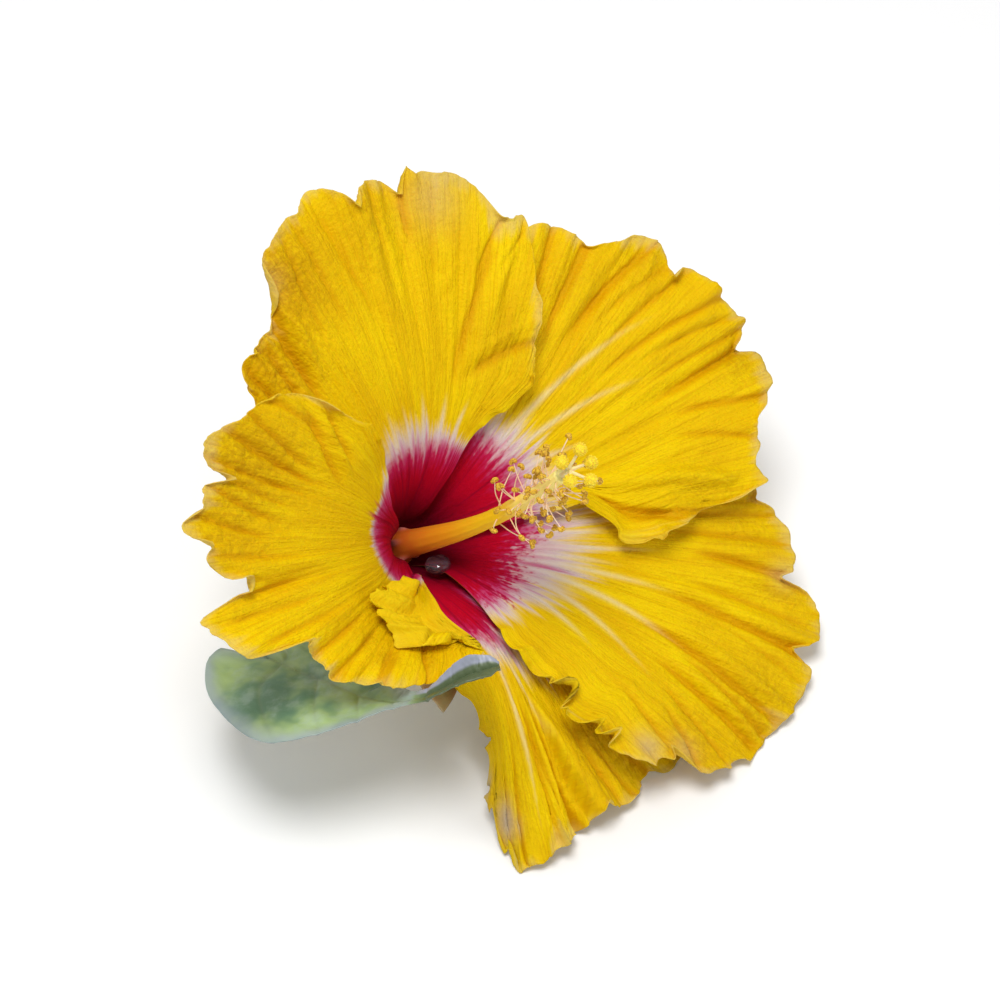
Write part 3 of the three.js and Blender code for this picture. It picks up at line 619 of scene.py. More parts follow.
def ball(centre, radius, segments=16, rings=10, squash=(1, 1, 1)):
    """Closed ball made of rings; returns points, faces and place (0 bottom to 1 top)."""
    centre = np.asarray(centre, float)
    angles = np.linspace(0, np.pi, rings + 1)[1:-1]
    turns = round_angles(segments)
    loops = []
    for angle in angles:
        flat = np.sin(angle)
        ring = np.stack([np.cos(turns) * flat, np.sin(turns) * flat, np.full(segments, -np.cos(angle))], 1)
        loops.append(centre + ring * radius * np.array(squash))
    points, faces, place = tube_mesh(np.array(loops))
    points[-2] = centre - UP * radius * squash[2]
    points[-1] = centre + UP * radius * squash[2]
    return points, faces, place


# ==== material nodes =====================================================================

class Shader:
    """A material being built from nodes."""

    def __init__(self, name):
        self.material = bpy.data.materials.new(name)
        self.material.use_nodes = True
        self.tree = self.material.node_tree
        self.tree.nodes.clear()
        self.surface = self.node("BsdfPrincipled")
        self.node("OutputMaterial", [("Surface", self.surface.outputs[0])])

    def link(self, value, socket):
        if isinstance(value, bpy.types.NodeSocket):
            self.tree.links.new(value, socket)
        else:
            socket.default_value = value

    def node(self, kind, inputs=(), **settings):
        """New node with its settings, then its inputs, given as (socket, value) pairs."""
        node = self.tree.nodes.new("ShaderNode" + kind)
        for key, value in settings.items():
            setattr(node, key, value)
        for socket, value in inputs:
            self.link(value, node.inputs[socket])
        return node

    def attribute(self, name):
        return self.node("Attribute", attribute_name=name).outputs["Fac"]

    def math(self, operation, first, second):
        return self.node("Math", ((0, first), (1, second)), operation=operation).outputs[0]

    def times(self, first, second):
        return self.math("MULTIPLY", first, second)

    def plus(self, first, *others):
        for other in others:
            first = self.math("ADD", first, other)
        return first

    def spread(self, value, amount):
        """A noise value moved to the range from -amount / 2 to amount / 2."""
        return self.times(self.math("SUBTRACT", value, 0.5), amount)

    def step(self, value, low, high, to_low=0.0, to_high=1.0):
        """Smooth step from to_low, where the value is low, to to_high."""
        sockets = ("Value", "From Min", "From Max", "To Min", "To Max")
        inputs = zip(sockets, (value, low, high, to_low, to_high))
        return self.node("MapRange", inputs, interpolation_type="SMOOTHSTEP").outputs["Result"]

    def mix(self, factor, first, second):
        """Mix of two colours, the second where the factor is 1."""
        return self.node("Mix", ((0, factor), (6, first), (7, second)), data_type="RGBA").outputs[2]

    def vector(self, *values):
        return self.node("CombineXYZ", enumerate(values)).outputs[0]

    def noise(self, scale, detail=3.0, roughness=0.5, vector=None):
        """Noise in the object's own coordinates, in cells per metre, or along a vector."""
        if vector is None:
            vector = self.node("TexCoord").outputs["Object"]
        sockets = ("Vector", "Scale", "Detail", "Roughness")
        return self.node("TexNoise", zip(sockets, (vector, scale, detail, roughness))).outputs["Fac"]

    def bump(self, height, strength, distance, normal=None):
        """Bump whose distance is in metres, on top of an earlier one."""
        inputs = [("Strength", strength), ("Distance", distance), ("Height", height)]
        if normal is not None:
            inputs.append(("Normal", normal))
        return self.node("Bump", inputs).outputs[0]

    def finish(self, colour, roughness, normal=None, **settings):
        self.link(colour, self.surface.inputs["Base Color"])
        self.link(roughness, self.surface.inputs["Roughness"])
        if normal is not None:
            self.link(normal, self.surface.inputs["Normal"])
        for key, value in settings.items():
            self.surface.inputs[key.replace("_", " ")].default_value = value
        return self.material


def rgb(*levels):
    return (*levels, 1.0)


def petal_material():
    """Crimson eye, pink and white feathering, white veins, then yellow out to a cream rim."""
    s = Shader("petal_tissue")
    distance = s.attribute("distance")
    bearing = s.attribute("bearing")
    seed = s.attribute("seed")

    def streaks(across, along, detail, roughness):
        """Noise with its own number of cells for each degree across and each mm along."""
        place = s.vector(s.times(bearing, across), s.times(distance, along), seed)
        return s.noise(1.0, detail, roughness, place)

    broad = streaks(0.13, 0.05, 2.0, 0.5)
    soft = streaks(0.42, 0.03, 1.0, 0.4)
    fine = streaks(0.9, 0.035, 2.0, 0.5)
    hair = streaks(2.8, 0.07, 2.0, 0.55)
    spots = streaks(0.55, 0.7, 2.0, 0.5)
    crinkle = streaks(1.5, 1.2, 3.0, 0.6)

    # yellow field, with amber in the wrinkles and along the finest veins, and painted shade: darker amber
    # in the furrows
    yellow = s.mix(s.step(broad, 0.3, 0.7), rgb(0.76, 0.475, 0.0), rgb(0.83, 0.575, 0.0))
    yellow = s.mix(s.step(hair, 0.46, 0.66, 0, 0.42), yellow, rgb(0.64, 0.33, 0.0))
    yellow = s.mix(s.step(crinkle, 0.5, 0.7, 0, 0.25), yellow, rgb(0.64, 0.37, 0.0))
    # painted shade: darker amber where the furrows sink
    yellow = s.mix(s.step(s.attribute("furrow_shade"), 0.05, 1.0, 0, 0.6), yellow, rgb(0.62, 0.29, 0.0))
    # darker amber patches, partly painted shadow beneath the flap, broken up by the crinkle
    dark_patch_and_shadow = s.times(s.attribute("dark_patch_and_shadow"), s.step(crinkle, 0.38, 0.6, 0.34, 0.68))
    yellow = s.mix(dark_patch_and_shadow, yellow, rgb(0.47, 0.24, 0.0))

    # soft pink to white halo round the eye, and the long pale veins
    halo_place = s.plus(s.attribute("in_halo"), s.spread(soft, 2.0), s.spread(fine, 1.2))
    halo = s.mix(s.step(halo_place, -0.3, 0.9), rgb(0.56, 0.10, 0.23), rgb(0.66, 0.53, 0.54))
    halo = s.mix(s.step(halo_place, 0.5, 1.6), halo, rgb(0.78, 0.62, 0.32))
    colour = s.mix(s.step(halo_place, 0.5, 1.7), halo, yellow)
    pale = s.mix(s.step(distance, 26.0, 44.0), rgb(0.74, 0.64, 0.60), rgb(0.84, 0.70, 0.34))
    colour = s.mix(s.times(s.attribute("pale"), 0.65), colour, pale)

    # crimson eye, darker in the throat, with a streaked and speckled edge
    edge = s.plus(s.attribute("past_eye"), s.spread(soft, -9.0), s.spread(fine, -3.5))
    edge = s.plus(edge, s.times(s.attribute("speckle"), s.spread(spots, -13.0)))
    crimson = s.mix(s.step(distance, 4.0, 20.0), rgb(0.13, 0.0, 0.010), rgb(0.52, 0.0, 0.018))
    crimson = s.mix(s.step(soft, 0.5, 0.72, 0, 0.6), crimson, rgb(0.24, 0.0, 0.022))
    crimson = s.mix(s.step(hair, 0.45, 0.68, 0, 0.25), crimson, rgb(0.25, 0.0, 0.012))
    crimson = s.mix(s.step(edge, -6.0, 0.5), crimson, rgb(0.52, 0.015, 0.10))
    colour = s.mix(s.step(edge, -2.2, 2.6), crimson, colour)

    # the outer face is duller, and the rim thins out to cream in places
    back = s.mix(s.step(distance, 8.0, 22.0), rgb(0.50, 0.26, 0.10), rgb(0.75, 0.50, 0.005))
    colour = s.mix(s.times(s.math("SUBTRACT", 1.0, s.attribute("inner")), 0.7), colour, back)
    colour = s.mix(s.attribute("faded"), colour, rgb(0.42, 0.34, 0.27))
    rim = s.plus(s.attribute("margin"), s.spread(broad, -15.0), s.spread(fine, -7.0))
    rim = s.times(s.step(rim, -1.5, 2.5, 0.42, 0), s.step(distance, 38.0, 56.0))
    colour = s.mix(rim, colour, rgb(0.62, 0.47, 0.19))

    ribs = s.bump(hair, 0.45, 0.0005)
    normal = s.bump(crinkle, 0.5, 0.0008, ribs)
    return s.finish(
        colour, 0.6, normal,
        Subsurface_Weight=0.15, Subsurface_Scale=0.001, Subsurface_Radius=(1.0, 0.6, 0.1),
        Specular_IOR_Level=0.07,
    )


def column_material():
    """Red-orange at the base, orange, then yellow, and pale lemon at the end, with pink painted highlights
    on the swellings.
    """
    s = Shader("column_tissue")
    place = s.plus(s.attribute("height"), s.spread(s.noise(420.0), 8.0))
    colour = s.mix(s.step(place, 2.0, 20.0), rgb(0.92, 0.16, 0.02), rgb(0.92, 0.36, 0.012))
    colour = s.mix(s.step(place, 16.0, 36.0), colour, rgb(0.92, 0.60, 0.012))
    colour = s.mix(s.step(place, 38.0, 52.0), colour, rgb(1.0, 0.86, 0.28))
    # painted highlight: pink on the tops of the swellings
    colour = s.mix(s.attribute("swell_highlight"), colour, rgb(0.92, 0.28, 0.27))
    normal = s.bump(s.noise(1500.0, 2.0), 0.2, 0.0002)
    return s.finish(colour, 0.42, normal, Subsurface_Weight=0.15, Subsurface_Scale=0.001,
                    Subsurface_Radius=(1.0, 0.5, 0.2), Specular_IOR_Level=0.4)


def stamen_material():
    """Pinkish-cream filament and golden-brown, dusty anther."""
    s = Shader("stamen_tissue")
    grain = s.noise(3200.0, 2.0)
    filament = s.mix(s.attribute("height"), rgb(0.90, 0.56, 0.30), rgb(0.93, 0.78, 0.62))
    dust = s.mix(s.step(grain, 0.35, 0.65), rgb(0.42, 0.20, 0.01), rgb(0.80, 0.50, 0.03))
    colour = s.mix(s.attribute("anther"), filament, dust)
    normal = s.bump(grain, 0.5, 0.0002)
    return s.finish(colour, 0.7, normal, Subsurface_Weight=0.1, Subsurface_Scale=0.0005)


def stigma_material():
    """Deep yellow pad and pale stalk."""
    s = Shader("stigma_tissue")
    grain = s.noise(2600.0, 2.0)
    pad = s.mix(s.step(grain, 0.3, 0.7), rgb(0.86, 0.58, 0.003), rgb(1.0, 0.78, 0.01))
    colour = s.mix(s.attribute("pad"), rgb(0.86, 0.74, 0.36), pad)
    return s.finish(colour, 0.6, s.bump(grain, 0.3, 0.0002), Sheen_Weight=0.2,
                    Subsurface_Weight=0.2, Subsurface_Scale=0.0006)


def calyx_material():
    """Olive green cup with ribs, going orange-brown towards the lobes' tips."""
    s = Shader("calyx_tissue")
    patch = s.noise(260.0)
    place = s.plus(s.attribute("along"), s.spread(patch, 0.5))
    green = s.mix(s.step(patch, 0.35, 0.65), rgb(0.22, 0.27, 0.05), rgb(0.33, 0.36, 0.10))
    colour = s.mix(s.step(place, 0.5, 1.0), green, rgb(0.42, 0.20, 0.07))
    colour = s.mix(s.times(s.attribute("vein"), 0.5), colour, rgb(0.46, 0.44, 0.18))
    normal = s.bump(s.noise(2600.0, 2.0), 0.3, 0.0003)
    return s.finish(colour, 0.6, normal, Sheen_Weight=0.25, Subsurface_Weight=0.08,
                    Subsurface_Scale=0.0008)


def stalk_material(name, light, dark, bark):
    """Green stalk, or brown twig where bark is 1, with pale lenticels and fine ridges."""
    s = Shader(name)
    patch = s.noise(240.0, 4.0, 0.6)
    colour = s.mix(s.step(patch, 0.35, 0.65), dark, light)
    specks = s.step(s.noise(1300.0, 1.0), 0.66, 0.74, 0, 0.25 + 0.35 * bark)
    colour = s.mix(specks, colour, rgb(0.52, 0.46, 0.32))
    colour = s.mix(s.attribute("cut"), colour, rgb(0.62, 0.52, 0.30))
    normal = s.bump(s.noise(900.0, 4.0, 0.7), 0.3 + 0.5 * bark, 0.0006)
    return s.finish(colour, 0.55 + 0.25 * bark, normal, Sheen_Weight=0.1)


def leaf_material():
    """Mottled green blade with faint veins, a grey-blue waxy bloom along its edge, and a grey-blue painted
    sky reflection on the upper half of its narrow end.
    """
    s = Shader("leaf_tissue")
    patch = s.noise(75.0, 3.0, 0.6)
    blotch = s.noise(190.0, 4.0, 0.65)
    green = s.mix(s.step(patch, 0.36, 0.62), rgb(0.090, 0.215, 0.105), rgb(0.330, 0.470, 0.160))
    green = s.mix(s.step(blotch, 0.45, 0.7, 0, 0.45), green, rgb(0.36, 0.48, 0.40))
    colour = s.mix(s.times(s.attribute("vein"), 0.3), green, rgb(0.23, 0.26, 0.15))
    colour = s.mix(s.attribute("inner"), rgb(0.20, 0.28, 0.13), colour)
    colour = s.mix(s.attribute("narrow"), colour, rgb(0.085, 0.120, 0.050))
    # painted reflection: grey-blue of the sky on the upper half of the narrow end
    reflection_strength = s.times(s.attribute("painted_sky_reflection"), s.step(blotch, 0.25, 0.5, 0.7, 1.0))
    colour = s.mix(reflection_strength, colour, rgb(0.30, 0.32, 0.40))
    bloom = s.plus(s.attribute("margin"), s.spread(blotch, 4.0))
    colour = s.mix(s.step(bloom, 0.0, 4.6, 0.72, 0), colour, rgb(0.31, 0.37, 0.43))
    normal = s.bump(s.noise(700.0), 0.15, 0.0004)
    return s.finish(colour, 0.42, normal, Coat_Weight=0.15, Coat_Roughness=0.3)


def water_material():
    s = Shader("water")
    # painted refraction and reflection: dark crimson-purple for the eye seen through the drop, pale
    # blue-white for the bright surroundings reflected in it
    cloud = s.step(s.noise(420.0, 2.0), 0.4, 0.6)
    painted_refraction_and_reflection = s.mix(cloud, rgb(0.40, 0.18, 0.28), rgb(0.76, 0.70, 0.88))
    return s.finish(painted_refraction_and_reflection, 0.03, Transmission_Weight=0.95, IOR=1.45)


def floor_material():
    s = Shader("pale_floor")
    tone = s.mix(s.noise(3.0), rgb(0.94, 0.94, 0.94), rgb(0.96, 0.96, 0.96))
    return s.finish(tone, 0.7, Specular_IOR_Level=0.15)


# ==== petals =============================================================================

def build_funnel():
    """Radius, height and angle of the funnel's wall, every FUNNEL_STEP mm along it."""
    distance = np.arange(0, FUNNEL_LENGTH + FUNNEL_STEP, FUNNEL_STEP)
    opened = 1 - np.exp(-((distance / OPENING_LENGTH) ** OPENING_POWER))
    angle = np.radians(THROAT_ANGLE + (RIM_ANGLE - THROAT_ANGLE) * opened)
    radius = CLAW_RADIUS + np.concatenate([[0], np.cumsum(np.sin(angle[:-1]) * FUNNEL_STEP)])
    height = np.concatenate([[0], np.cumsum(np.cos(angle[:-1]) * FUNNEL_STEP)])
    return distance, radius, height, angle


FUNNEL = build_funnel()


def funnel_point(distance, azimuth, lift):
    """Point on the funnel, lifted off its inner side; below the receptacle it goes straight down."""
    place, radii, heights, angles = FUNNEL
    angle = np.interp(distance, place, angles)
    below = np.minimum(distance, 0)
    radius = np.interp(distance, place, radii) + below * np.sin(angle) - lift * np.cos(angle)
    height = np.interp(distance, place, heights) + below * np.cos(angle) + lift * np.sin(angle)
    return np.stack([radius * np.cos(azimuth), radius * np.sin(azimuth), height], -1)


def bearing_and_seed(petal, across, use=0):
    """Degrees from the petal's middle, and a seed for one use of noise on this petal."""
    return across * petal["half_width"], int(petal["phase"] * 10) + use


def arc(degrees, distance):
    """Millimetres, roughly, that an angle on a petal spans at a distance along it."""
    return degrees * np.radians(1) * distance


def side_distance(petal, across, distance):
    """Millimetres along the surface to the petal's nearer side."""
    radius = np.interp(distance, FUNNEL[0], FUNNEL[1])
    return (1 - np.abs(across)) * np.radians(petal["half_width"]) * radius


def rim_length(petal, across):
    """Length of the petal at a place across it, with its small teeth."""
    bearing, seed = bearing_and_seed(petal, across)
    teeth = 0.55 * noise(bearing / 2.1, 0.5, seed) + 0.3 * noise(bearing / 0.8, 0.5, seed + 7)
    return smooth_line(petal["rim"], bearing) + teeth * smoothstep(1 - np.abs(across), 0, 0.12)


def kept_apart(wave, across, layer, mean):
    """Waves that stay on their own layer's side where the petal overlaps others."""
    overlapped = smoothstep(np.abs(across), 0.2, 0.6)
    return wave * (1 - overlapped) + layer * (mean + (1 - mean) * wave) * overlapped


def margin_wave(petal, across, along, distance, layer):
    """Height of the large waves, as in the CAD model."""
    bearing = across * petal["half_width"]
    phase = petal["phase"]
    waves = 0.62 * np.sin(np.radians(bearing * 15) + phase)
    waves = waves + 0.38 * np.sin(np.radians(bearing * 26) + 2.3 * phase)
    end_wave = END_WAVE * kept_apart(waves, across, layer, 0.5) * smoothstep(along, 0.5, 1)
    side_waves = 0.5 + 0.5 * np.sin(distance / 2.9 + phase)
    side_growth = smoothstep(np.abs(across), 0.6, 1) * smoothstep(distance, 22, 40)
    return end_wave + SIDE_WAVE * layer * side_waves * side_growth


def frills(petal, across, distance, layer, from_rim, to_side):
    """Fine frills along the margins: height, and shifts along and across that roll them over."""
    bearing, seed = bearing_and_seed(petal, across, 20)
    at_end = 1 - smoothstep(np.abs(across), 0.84, 1)
    turn = bearing * 0.95 + 3.2 * noise(bearing / 6, distance / 40, seed)
    strength = 0.5 + 0.5 * noise(bearing / 9, 0, seed + 1)
    growth = smoothstep(from_rim, 8, 0) * at_end * strength
    height = FRILL * kept_apart(np.sin(turn), across, layer, 0.4) * growth
    shift_across = 0.7 * np.cos(turn) * growth
    crimp = noise(bearing / 0.9, distance / 5, seed + 2)
    height = height + 0.28 * crimp * smoothstep(from_rim, 5, 0)

    size = np.where(across < 0, petal["side"][0], petal["side"][1])
    side_turn = distance / 1.1 + 3.0 * noise(distance / 7, across * 1.5, seed + 3)
    side_growth = smoothstep(to_side, 7, 0) ** 1.2 * smoothstep(distance, 20, 32)
    side_growth = side_growth * (0.65 + 0.35 * noise(distance / 6, 2, seed + 5))
    height = height + size * 0.5 * layer * (0.6 + 0.6 * np.sin(side_turn)) * side_growth
    shift_along = size * 0.38 * np.cos(side_turn) * side_growth
    return height, shift_along, shift_across


def rolled_margin(name, across, distance, from_rim, to_side):
    """Height of the rolled stretches of margin, and how far they move towards the middle."""
    bearing, seed = bearing_and_seed(PETALS[name], across, 30)
    height, inward_from_end, inward_from_side = 0, 0, 0
    loose = LOOSE_CURL * np.maximum(noise(bearing / 2.6, 0.5, seed) + 0.3, 0)
    stretches = [(0, loose, 1.0)]
    for side, place, half_length, width in CURLS[name]:
        away = np.where(side == 0, bearing, distance) - place
        here = 1 if side == 0 else side * across > 0
        stretches.append((side, abs(width) * bell(away, half_length) * here, np.sign(width)))
    for side, width, way in stretches:
        over = np.maximum(width - (from_rim if side == 0 else to_side), 0)
        turn = over / CURL_RADIUS
        height = height + way * CURL_RADIUS * (1 - np.cos(turn))
        inward = over - CURL_RADIUS * np.sin(turn)
        if side == 0:
            inward_from_end = inward_from_end + inward
        else:
            inward_from_side = inward_from_side + inward
    return height, inward_from_end, inward_from_side


def fold_height(petal, folds, across, distance):
    """Height of the furrows and ridges that have their own places."""
    bearing = across * petal["half_width"]
    height = np.zeros_like(distance)
    for first, last, start, end, widths, size in folds:
        part = np.clip((distance - start) / (end - start), 0, 1)
        away = arc(bearing - first - (last - first) * part**1.2, distance)
        before, after = np.broadcast_to(widths, 2)
        width = np.where(away < 0, before, after)
        strength = smoothstep(distance, start, start + 0.5 * (end - start))
        strength = strength * smoothstep(distance, end + 5, end - 2)
        height = height + size * bell(away, 0.8 * width) * strength
    return FOLD_SCALE * height


def crinkle_height(name, across, distance):
    """Soft pleats, ribs along the veins and the fine crinkle of the tissue."""
    petal = PETALS[name]
    bearing, seed = bearing_and_seed(petal, across, 40)
    wander = 1.8 * noise(bearing / 10, distance / 30, seed)
    pleat = np.sin(bearing * 0.78 + wander) * noise(bearing / 5, distance / 26, seed + 6)
    height = 0.7 * pleat * smoothstep(distance, 28, 60)
    sway = 0.5 * noise(bearing / 3, distance / 8, seed + 8)
    ribs = 1 - 2 * np.abs(noise(bearing / 1.2 + sway, distance / 36, seed + 1))
    height = height + 0.2 * ribs * smoothstep(distance, 22, 44)
    crinkle = fractal(bearing / 1.2, distance / 1.5, seed + 2, 2)
    patches = smoothstep(noise(bearing / 7, distance / 9, seed + 9), -0.3, 0.5)
    dark_patch_and_shadow = patch_pattern(petal, DARK_PATCHES_AND_SHADOW[name], across, distance)
    return height + (0.07 + 0.12 * patches + 0.22 * dark_patch_and_shadow) * crinkle * smoothstep(distance, 30, 60)


def turned_over(flap, petal, across, distance):
    """Where points of a petal lie once its flap is turned over: across, distance and height."""
    amount = smoothstep(distance, flap["start"], flap["start"] + 1.6)
    amount = amount * smoothstep(distance, flap["end"], flap["end"] - 4)
    fold = 1 - FLAP_SHARE * amount
    reach = flap["side"] * across
    part = np.clip((reach - fold) / np.maximum(1 - fold, 1e-6), 0, 1) * (amount > 0)
    places = [(place, bearing) for place, bearing, _ in flap["free"]]
    lengths = [(place, length) for place, _, length in flap["free"]]
    free_across = smooth_line(places, distance) / petal["half_width"]
    free_distance = smooth_line(lengths, distance)
    scallop = 0.06 * np.abs(np.sin(distance * 1.9)) + 0.012 * np.sin(distance * 8)
    turned = part * np.sqrt(amount) * (1 + scallop * smoothstep(part, 0.6, 1))
    stretch = 1 - (1 - fold) * smoothstep(reach, 0, 0.5)
    new_across = np.where(part > 0, 1 + (free_across - 1) * turned, reach / stretch)
    new_distance = distance + (free_distance - distance) * turned
    lobes = np.sin((distance - flap["start"]) * 1.35)
    bulge = 1.3 * smoothstep(part, 0, 0.12) - 0.6 * bell(part - 0.52, 0.13)
    bulge = bulge + (2.3 + 0.8 * lobes) * smoothstep(part, 0.5, 0.82) - 0.8 * smoothstep(part, 0.82, 1)
    ruffle = (0.55 * np.sin(distance * 2.1) + 0.3 * np.sin(distance * 5.2)) * smoothstep(part, 0.35, 1)
    return flap["side"] * new_across, new_distance, (bulge + ruffle) * np.sqrt(amount)


def petal_surface(name, across, distance):
    """Points of the petal's middle surface at places across it and distances along it."""
    petal = PETALS[name]
    flap_height = 0.0
    if name in FLAPS:
        across, distance, flap_height = turned_over(FLAPS[name], petal, across, distance)
    rim = rim_length(petal, across)
    side = (across >= 0).astype(int)
    layer = np.take(petal["layer"], side)
    outward = smoothstep(np.abs(across), 0.15, 0.85)
    radius = np.interp(distance, FUNNEL[0], FUNNEL[1])
    lift = layer * LAYER_OFFSET * outward * smoothstep(distance, 0, 12)
    risen = smoothstep(np.abs(across), 0.2, 1) * smoothstep(distance, 12, 47)
    lift = lift + np.take(petal["rise"], side) * risen - petal["sag"] * smoothstep(distance, 30, 75)
    lift = lift + margin_wave(petal, across, distance / rim, distance, layer)
    lift = lift + fold_height(petal, FOLDS[name], across, distance)
    lift = lift + crinkle_height(name, across, distance)
    margins = rim - distance, side_distance(petal, across, distance)
    frill, shift_along, shift_across = frills(petal, across, distance, layer, *margins)
    rolled, from_end, from_side = rolled_margin(name, across, distance, *margins)
    lift = lift + frill + rolled
    shift_along = shift_along - from_end
    shift_across = shift_across - np.sign(across) * from_side

    middle = petal["claw"] + (petal["middle"] - petal["claw"]) * smoothstep(distance, 0, 30)
    widening = (petal["half_width"] - CLAW_HALF_WIDTH) * smoothstep(distance, 0, 22)
    reaches = [smooth_line(edge, distance) for edge in petal["edges"]]
    reach = np.where(side == 0, *reaches)
    half_width = CLAW_HALF_WIDTH + widening + reach * smoothstep(np.abs(across), 0.3, 1)
    azimuth = np.radians(middle + across * half_width)
    if "curl" in petal:
        bend = np.maximum(petal["curl"] * smoothstep(distance, 10, 45), 0.01)
        width = np.radians(half_width) * (1 - (1 - petal["curl_width"]) * smoothstep(distance, 10, 40))
        rolled = np.radians(middle) - width * np.sin(-across * bend) / bend
        azimuth = np.where(across < 0, rolled, azimuth)
        lift = np.where(across < 0, lift - width * radius * (1 - np.cos(across * bend)) / bend, lift)
    azimuth = azimuth + shift_across / np.maximum(radius, 4)
    return funnel_point(distance + shift_along, azimuth, lift + flap_height)


def vein_pattern(petal, across, distance):
    """Strength of the main veins, which fan out and fork."""
    bearing, seed = bearing_and_seed(petal, across, 60)
    strength = np.zeros_like(bearing)
    for place in np.linspace(-0.8, 0.8, MAIN_VEINS) * petal["half_width"]:
        fork = 1.9 * smoothstep(distance, 32, 60)
        bend = 1.3 * noise(distance / 20, place, seed)
        for way in (-1, 1):
            away = arc(bearing - place - bend - way * fork, distance)
            strength = np.maximum(strength, bell(away, 0.38))
    return strength


def pale_vein_pattern(petal, veins, across, distance):
    """Long white veins that run out from the eye and thin away."""
    bearing = across * petal["half_width"]
    strength = np.zeros_like(bearing)
    for first, last, end in veins:
        part = np.clip((distance - 22) / (end - 22), 0, 1.2)
        away = arc(bearing - first - (last - first) * part**1.1, distance)
        line = bell(away, 1.0 - 0.62 * part)
        strength = np.maximum(strength, line * (1 - smoothstep(part, 0.5, 1.05)))
    return strength


def patch_pattern(petal, patches, across, distance):
    """Strength of patches that have their own places."""
    bearing = across * petal["half_width"]
    strength = np.zeros_like(bearing)
    for place, length, radius, amount in patches:
        away = np.hypot(arc(bearing - place, distance), distance - length)
        strength = np.maximum(strength, amount * bell(away, radius))
    return strength


def petal_piece(name, material):
    """Closed sheet of a petal, with the values that its colours are made from."""
    petal = PETALS[name]
    column, row = grid_places(PETAL_COLUMNS, PETAL_ROWS)
    across = column * (1.2 - 0.2 * column**2)  # closer together near the sides
    rim = rim_length(petal, across)
    distance = FIRST_DISTANCE + row * (1.25 - 0.25 * row) * (rim - FIRST_DISTANCE)
    grid = petal_surface(name, across, distance)
    bearing = across * petal["half_width"]
    margin = np.minimum(rim - distance, side_distance(petal, across, distance))
    vein = vein_pattern(petal, across, distance)
    eye = smooth_line(petal["eye"], bearing)
    reached = distance
    if name in FLAPS:
        reached = np.maximum(distance, turned_over(FLAPS[name], petal, across, distance)[1])
    values = {
        "distance": reached,
        "bearing": bearing,
        "margin": margin,
        "pale": pale_vein_pattern(petal, PALE_VEINS[name], across, distance),
        "past_eye": reached - eye,
        "in_halo": (reached - eye) / (smooth_line(petal["halo"], bearing) - eye),
        # depth of the furrows, for the painted shade in them
        "furrow_shade": -fold_height(petal, FOLDS[name], across, distance),
        # darker patches, with painted shadow beneath the flap
        "dark_patch_and_shadow": patch_pattern(petal, DARK_PATCHES_AND_SHADOW[name], across, distance),
        "faded": patch_pattern(petal, FADED_PATCHES.get(name, ()), across, distance),
        "speckle": np.full_like(distance, petal["speckle"]),
        "seed": np.full_like(distance, petal["phase"] * 7.3),
    }
    normals = -sheet_normals(grid)
    thickness = PETAL_THICKNESS * (0.45 + 0.55 * smoothstep(margin, 0, 6))
    relief = 0.06 * vein * smoothstep(distance, 12, 30) * smoothstep(margin, 0, 5)
    outer = grid - normals * (thickness / 2)[..., None]
    inner = grid + normals * (thickness / 2 - relief)[..., None]
    points = from_blossom(sheet_points(outer, inner))
    low = points[:, 2] < RESTING_HEIGHT
    points[low, 2] = RESTING_HEIGHT * np.exp(points[low, 2] / RESTING_HEIGHT - 1)
    faces = sheet_faces(PETAL_COLUMNS, PETAL_ROWS)
    attributes = {key: np.tile(value.ravel(), 2) for key, value in values.items()}
    attributes["inner"] = np.repeat([0.0, 1.0], PETAL_COLUMNS * PETAL_ROWS)
    make_piece(name + "_tissue", points, faces, material, [name], attributes)


# ==== calyx and bracteoles ===============================================================

def calyx_piece(material):
    """Cup of five joined sepals with ribs, pointed lobes and a solid base."""
    azimuth = round_angles(CALYX_SEGMENTS)
    position = azimuth * CALYX_LOBES / (2 * np.pi)
    from_notch = np.abs(position - np.round(position)) * 2
    length = CALYX_TUBE + CALYX_LOBE * from_notch ** 1.05
    along = np.linspace(0, 1, CALYX_ROWS)[:, None] * np.ones((1, CALYX_SEGMENTS))
    distance = along * length
    wall = -(0.75 + 2.15 * smoothstep(distance, 0, 14)) - 12 * smoothstep(distance, 14, CALYX_LENGTH)
    ribs = 0.5 + 0.5 * np.cos(azimuth * CALYX_RIBS)
    keel = bell(from_notch - 1, 0.16)
    wave = 0.5 * np.sin(distance * 0.8 + position * 4) * smoothstep(distance, 14, 30)
    thickness = 0.8 - 0.45 * smoothstep(distance, 14, CALYX_LENGTH)
    inner = funnel_point(distance, azimuth, wall + wave)
    outer = funnel_point(distance, azimuth, wall + wave - thickness - 0.18 * ribs - 0.25 * keel)
    inner[0, :, 2], outer[0, :, 2] = -0.4, -1.3
    floor = [inner[0] * [f, f, 1] for f in (0.25, 0.6)]
    base = [outer[0] * [f, f, 1] - [0, 0, d] for f, d in ((0.8, 0.5), (0.55, 0.9), (0.25, 1.1))]
    rings = np.array([*floor, *inner, *outer[::-1], *base])
    points, faces, _ = tube_mesh(rings)
    faces = [tuple(reversed(face)) for face in faces]
    place = np.pad(np.concatenate([along, along[::-1]]), ((len(floor), len(base)), (0, 0))).ravel()
    vein = np.tile(np.maximum(ribs**4, keel), (len(rings), 1)).ravel()
    attributes = {"along": np.concatenate([place, [0, 0]]), "vein": np.concatenate([vein, [0, 0]])}
    make_piece("calyx_cup", from_blossom(points), faces, material, ["calyx"], attributes)


